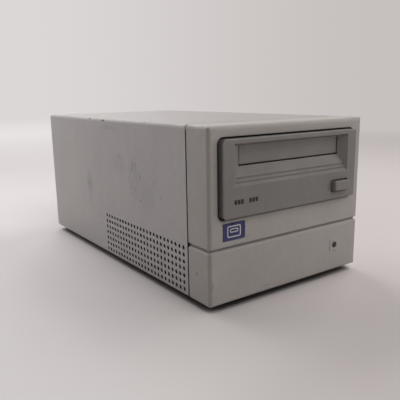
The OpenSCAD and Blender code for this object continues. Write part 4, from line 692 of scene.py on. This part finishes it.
def make_floor():
    """A round floor that fades into the backdrop's colour far from the object, and keeps the shadow near it, with
    painted light that darkens it from the left of the view to its right and a painted contact shadow near the object.
    """
    form = bmesh.new()
    bmesh.ops.create_circle(form, cap_ends=True, segments=FLOOR_SEGMENTS, radius=FLOOR_R)
    bmesh.ops.inset_region(form, faces=list(form.faces), thickness=FLOOR_R * FLOOR_BORDER)
    mesh = bpy.data.meshes.new("floor")
    form.to_mesh(mesh)
    form.free()
    look = Look("floor", FLOOR_ROUGH)
    aside = look.aside(look.vector("NORMALIZE", look.vector("SUBTRACT", look.place, CAMERA_AT)))
    # Painted light: the paper darkens from the left of the view to its right
    paper_and_painted_light = look.shade(look.mix(aside, PAPER_LIT_LEFT, PAPER_SHADED_RIGHT), look.noise(*PAPER_CLOUDS), PAPER_CLOUD_SHARE)
    open_sky = look.node("AmbientOcclusion", {"Distance": CONTACT_REACH}, samples=CONTACT_SAMPLES).outputs["AO"]
    # Painted contact shadow near the object
    paper_and_painted_light = look.mix(look.spread(open_sky, *CONTACT_RANGE), paper_and_painted_light, PAINTED_SHADE_COLOUR)
    look.finish(paper_and_painted_light, look.relief(look.noise(*PAPER_GRAIN), PAPER_RELIEF))
    away = look.vector("LENGTH", look.place)
    far = look.times(look.spread(away, *GLOW_RANGE), look.seen())
    wall = look.mix(look.spread(away, *WALL_RANGE), FAR_FLOOR_LEFT, BACKDROP_LEFT)
    glow = look.node("Emission", {"Color": look.mix(aside, wall, BACKDROP_RIGHT), "Strength": 1.0})
    blend = look.node("MixShader", {0: far, 1: look.shader.outputs[0], 2: glow.outputs[0]})
    look.feed(look.out.inputs["Surface"], blend.outputs[0])
    mesh.materials.append(look.material)
    floor = link("floor", mesh)


def make_world():
    """Faint even light, with the backdrop's colour where it is seen."""
    world = bpy.data.worlds.new("studio")
    bpy.context.scene.world = world
    world.use_nodes = True
    sky = Wiring(world.node_tree)
    light = sky.node("Background", {"Color": WORLD_COLOUR, "Strength": WORLD_STRENGTH})
    aside = sky.aside(sky.node("TexCoord").outputs["Generated"])
    back = sky.node("Background", {"Color": sky.mix(aside, BACKDROP_LEFT, BACKDROP_RIGHT)})
    blend = sky.node("MixShader", {0: sky.seen(), 1: light.outputs[0], 2: back.outputs[0]})
    sky.node("OutputWorld", {"Surface": blend.outputs[0]})


def softbox(name, at, aim, size, watts):
    data = bpy.data.lights.new(name, "AREA")
    data.shape = "RECTANGLE"
    data.size, data.size_y = size
    data.energy = watts
    data.color = LAMP_COLOUR
    lamp = link(name, data)
    lamp.location = at
    lamp.rotation_euler = (Vector(aim) - Vector(at)).to_track_quat("-Z", "Y").to_euler()
    lamp.visible_camera = False


make_floor()
make_world()
for settings in SOFTBOXES:
    softbox(*settings)


# Small detail

# Points nearer than this become one, in metres
SAME_POINT = MM / 1000


def piece(name, points, faces, look, body, like=None):
    """A piece from points in metres, dressed and riding on a body."""
    mesh = bpy.data.meshes.new(name)
    mesh.from_pydata(points, [], faces)
    form = bmesh.new()
    form.from_mesh(mesh)
    bmesh.ops.remove_doubles(form, verts=form.verts, dist=SAME_POINT)
    bmesh.ops.recalc_face_normals(form, faces=form.faces)
    form.to_mesh(mesh)
    form.free()
    obj = link(name, mesh)
    dress(obj, look)
    for face in mesh.polygons:
        face.use_smooth = True
    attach(obj, body)
    like or look
    return obj


def ring(first, second, count):
    """Faces between two closed loops of points, which start at those numbers."""
    return [(first + j, first + (j + 1) % count, second + (j + 1) % count, second + j) for j in range(count)]


LATHE_STEPS = 72


def lathe(profile, centre, rear):
    """Points in metres and faces of a profile of radius and depth before the rear in mm, turned about y."""
    points, faces = [], []
    count = len(profile)
    for k in range(LATHE_STEPS):
        turn = math.tau * k / LATHE_STEPS
        points += [(centre.x + r * MM * math.sin(turn), rear - depth * MM, centre.z + r * MM * math.cos(turn))
                   for r, depth in profile]
        here, there = k * count, (k + 1) % LATHE_STEPS * count
        faces += [(here + i, here + i + 1, there + i + 1, there + i) for i in range(count - 1)]
    return points, faces


# The fan's wheel in mm: profiles of its hub and of its paper disc, as radius and depth before the rear
FAN_DEPTH = 16.3
HUB_PROFILE = (
    (0, 0.2), (9.8, 0.2), (10.1, 0), (12.4, 0), (13.4, 0.4), (13.9, 1.3), (14, 2.2), (14, 16), (13.8, FAN_DEPTH),
    (12.7, FAN_DEPTH), (12.5, 16), (12.5, 1.6), (0, 1.6),
)
DISC_PROFILE = ((0, 0.02), (9.1, 0.02), (9.3, 0.1), (9.3, 0.2))

# Its blades, cambered and twisted as moulded ones are: lengths in mm and angles in degrees
FAN_BLADES = 7
FAN_TIP_R = 27.8
FAN_HUB_R = 14.0
BLADE_SUNK = 0.4
BLADE_ANGLE = 36
BLADE_TWIST = 16
BLADE_CHORD = 13.0
BLADE_WIDENS = 2.6
BLADE_CAMBER = 1.7
BLADE_SWEEP = 2.6
BLADE_EDGE_T = 0.12
BLADE_SWELL = 0.55
BLADE_RINGS = 9
BLADE_STEPS = 12


def blade_loop(r, start):
    """Section of a blade at radius r: a closed loop of points in mm round its chord."""
    out = (r - FAN_HUB_R) / (FAN_TIP_R - FAN_HUB_R)
    angle = math.radians(BLADE_ANGLE + BLADE_TWIST * out)
    chord = BLADE_CHORD + BLADE_WIDENS * out
    loop = []
    for side in (1, -1):
        steps = range(BLADE_STEPS + 1) if side == 1 else range(BLADE_STEPS - 1, 0, -1)
        for j in steps:
            t = j / BLADE_STEPS - 0.5
            full = max(0.0, 1 - 4 * t * t)
            bow = BLADE_CAMBER * full + side * (BLADE_EDGE_T + BLADE_SWELL * math.sqrt(full))
            across = chord * t * math.sin(angle) + bow * math.cos(angle) + BLADE_SWEEP * out * out
            depth = chord * t * math.cos(angle) - bow * math.sin(angle)
            turn = start - across / r
            loop.append((r * math.sin(turn), depth, r * math.cos(turn)))
    return loop


def make_fan():
    low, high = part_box("fan_rotor")
    centre = (low + high) / 2
    points, faces = lathe(HUB_PROFILE, centre, high.y)
    middle = Vector((centre.x, high.y - FAN_DEPTH * MM / 2, centre.z))
    root = FAN_HUB_R - BLADE_SUNK
    count = 2 * BLADE_STEPS
    for i in range(FAN_BLADES):
        for k in range(BLADE_RINGS):
            r = root + (FAN_TIP_R - root) * k / (BLADE_RINGS - 1)
            if k:
                faces += ring(len(points) - count, len(points), count)
            points += [middle + Vector(point) * MM for point in blade_loop(r, math.tau * i / FAN_BLADES)]
        faces.append(tuple(range(len(points) - count, len(points))))
    wheel = piece("fan_impeller", points, faces, "dark_plastic", "fan")
    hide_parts("fan_rotor")
    piece("fan_disc", *lathe(DISC_PROFILE, centre, high.y), "print_pale", "fan", "aluminium")


make_fan()


# Printed marks

# Steps round a corner, the smallest corner radius in mm, and how far marks stand out in mm
CORNER_STEPS = 5
SMALLEST_R = 0.01
PRINT_T = 0.03
THIN_PRINT_T = 0.02

# Places on the case in mm: a plane behind the whole object, and the middles of what carries marks
BEHIND_ALL = 240
BADGE_X = -42.4
BADGE_Z = 39.35
SWITCH_X = 43
SWITCH_Z = 51
BUTTON_X = 20
PLUS_Z = 61
MINUS_Z = 41


def rounded_loop(x, z, w, h, r):
    """Points of a rectangle with rounded corners, in mm."""
    loop = []
    for quarter, (i, k) in enumerate(((1, 1), (-1, 1), (-1, -1), (1, -1))):
        for j in range(CORNER_STEPS + 1):
            turn = math.pi / 2 * (quarter + j / CORNER_STEPS)
            loop.append((x + i * (w / 2 - r) + r * math.cos(turn), z + k * (h / 2 - r) + r * math.sin(turn)))
    return loop


def printed(name, shapes, place, look, body, like):
    """Flat marks from rounded rectangles, full or drawn with a line; place turns a point in mm into metres."""
    points, faces = [], []
    for x, z, w, h, r, line in shapes:
        first = len(points)
        outer = rounded_loop(x, z, w, h, r)
        points += [place(*point) for point in outer]
        if line:
            inner = rounded_loop(x, z, w - 2 * line, h - 2 * line, max(SMALLEST_R, r - line))
            points += [place(*point) for point in inner]
            faces += ring(first, first + len(outer), len(outer))
        else:
            faces.append(tuple(range(first, len(points))))
    piece(name, points, faces, look, body, like)


def on_front(lift):
    """A place function that lays marks before the case's front."""
    return lambda x, z: case_at(x, -lift, z)


def on_rear(node):
    """A place function that lays marks on a piece as it is seen from behind."""
    mesh = nodes[node].data
    tree = BVHTree.FromPolygons([v.co for v in mesh.vertices], [tuple(p.vertices) for p in mesh.polygons])

    def place(x, z):
        hit, normal, _, _ = tree.ray_cast(case_at(x, BEHIND_ALL, z), Vector((0, -1, 0)))
        if normal.y < 0:
            normal = -normal
        return hit + normal * PRINT_T * MM
    return place


# Each mark: middle, width, height and corner radius in mm, and the line's width where it is an outline
printed("badge_cartridge", (
    (BADGE_X, BADGE_Z, 9.0, 6.2, 0.9, 0.6),
    (BADGE_X, BADGE_Z + 0.5, 5.6, 2.1, 1.0, 0.5),
), on_front(PRINT_T), "print_pale", "case", "badge")
printed("power_bar", (
    (33.3, 16.5, 0.42, 7.4, 0.15, None),
    (37.6, 12.7, 2.6, 0.28, 0.1, None),
), on_front(THIN_PRINT_T), "print_dark", "case", "lens")
printed("rocker_marks", (
    (SWITCH_X, SWITCH_Z + 5.0, 0.55, 3.0, 0.12, None),
    (SWITCH_X, SWITCH_Z - 5.0, 2.9, 2.9, 1.44, 0.5),
), on_rear("switch_rocker"), "print_pale", "rocker", "pale_plastic")
printed("button_marks_plus", (
    (BUTTON_X, PLUS_Z, 2.0, 0.45, 0.1, None),
    (BUTTON_X, PLUS_Z, 0.45, 2.0, 0.1, None),
), on_rear("plus_button"), "print_pale", "plus_button", "dark_plastic")
printed("button_marks_minus", (
    (BUTTON_X, MINUS_Z, 2.0, 0.45, 0.1, None),
), on_rear("minus_button"), "print_pale", "minus_button", "dark_plastic")


# Numbers 0 to 9 round the rim of the device number wheel, in metres
WHEEL_AT = case_at(20, 212.6, 51)
WHEEL_PRINT_R = 0.00704
DIGIT_COUNT = 10
DIGIT_SHOWN = 4
DIGIT_SIZE = 0.0044
DIGIT_BAND = DIGIT_SIZE / 10
DIGIT_CUTS = range(-4, 5)
DIGIT_CURVE_STEPS = 4


def digit_mesh(digit):
    """A digit, cut into bands across its height and bent round the wheel at its place."""
    curve = bpy.data.curves.new("digit", "FONT")
    curve.body = str(digit)
    curve.size = DIGIT_SIZE
    curve.align_x = "CENTER"
    curve.align_y = "CENTER"
    curve.resolution_u = DIGIT_CURVE_STEPS
    shape = link("digit", curve)
    flat = bpy.data.meshes.new_from_object(shape.evaluated_get(bpy.context.evaluated_depsgraph_get()))
    bpy.data.objects.remove(shape)
    bpy.data.curves.remove(curve)
    form = bmesh.new()
    form.from_mesh(flat)
    for cut in DIGIT_CUTS:
        everything = list(form.verts) + list(form.edges) + list(form.faces)
        bmesh.ops.bisect_plane(form, geom=everything, plane_co=(0, cut * DIGIT_BAND, 0), plane_no=(0, 1, 0))
    for vert in form.verts:
        turn = (digit - DIGIT_SHOWN) * math.tau / DIGIT_COUNT + vert.co.y / WHEEL_PRINT_R
        vert.co = WHEEL_AT + Vector((-vert.co.x, WHEEL_PRINT_R * math.cos(turn), WHEEL_PRINT_R * math.sin(turn)))
    form.to_mesh(flat)
    form.free()
    return flat


def make_digits():
    form = bmesh.new()
    for digit in range(DIGIT_COUNT):
        flat = digit_mesh(digit)
        form.from_mesh(flat)
        bpy.data.meshes.remove(flat)
    bmesh.ops.reverse_faces(form, faces=form.faces)
    mesh = bpy.data.meshes.new("wheel_digits")
    form.to_mesh(mesh)
    form.free()
    digits = link("wheel_digits", mesh)
    dress(digits, "print_dark")
    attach(digits, "number_wheel")


make_digits()


# Contacts in the two rows of each bus connector: places and lengths in mm
CONNECTOR_X = 27
CONNECTOR_Z = 80
CONTACT_ROWS = (-1.35, 1.35)
CONTACTS = 25
CONTACT_PITCH = 1.2
CONTACT_SIDES = (-0.3, 0.3)

# Section of a contact: height, and place behind the insert's rear face
CONTACT_SECTION = ((-0.35, -1.2), (0.35, -1.2), (0.35, -0.1), (0.22, 0.04), (-0.22, 0.04), (-0.35, -0.1))


def make_contacts():
    """Leaf contacts with bent tips, flush with the grooves of the inserts."""
    _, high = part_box("bus_inserts")
    points, faces = [], []
    count = len(CONTACT_SECTION)
    for connector in (-CONNECTOR_X, CONNECTOR_X):
        for row in CONTACT_ROWS:
            for k in range(CONTACTS):
                x = connector + (k - (CONTACTS - 1) / 2) * CONTACT_PITCH
                first = len(points)
                for side in CONTACT_SIDES:
                    points += [((x + side) * MM, high.y + depth * MM, case_at(0, 0, CONNECTOR_Z + row + height).z)
                               for height, depth in CONTACT_SECTION]
                faces += ring(first, first + count, count)
                faces += [tuple(range(first, first + count)), tuple(range(first + count, first + 2 * count))]
    piece("bus_contacts", points, faces, "contact", "case")


make_contacts()
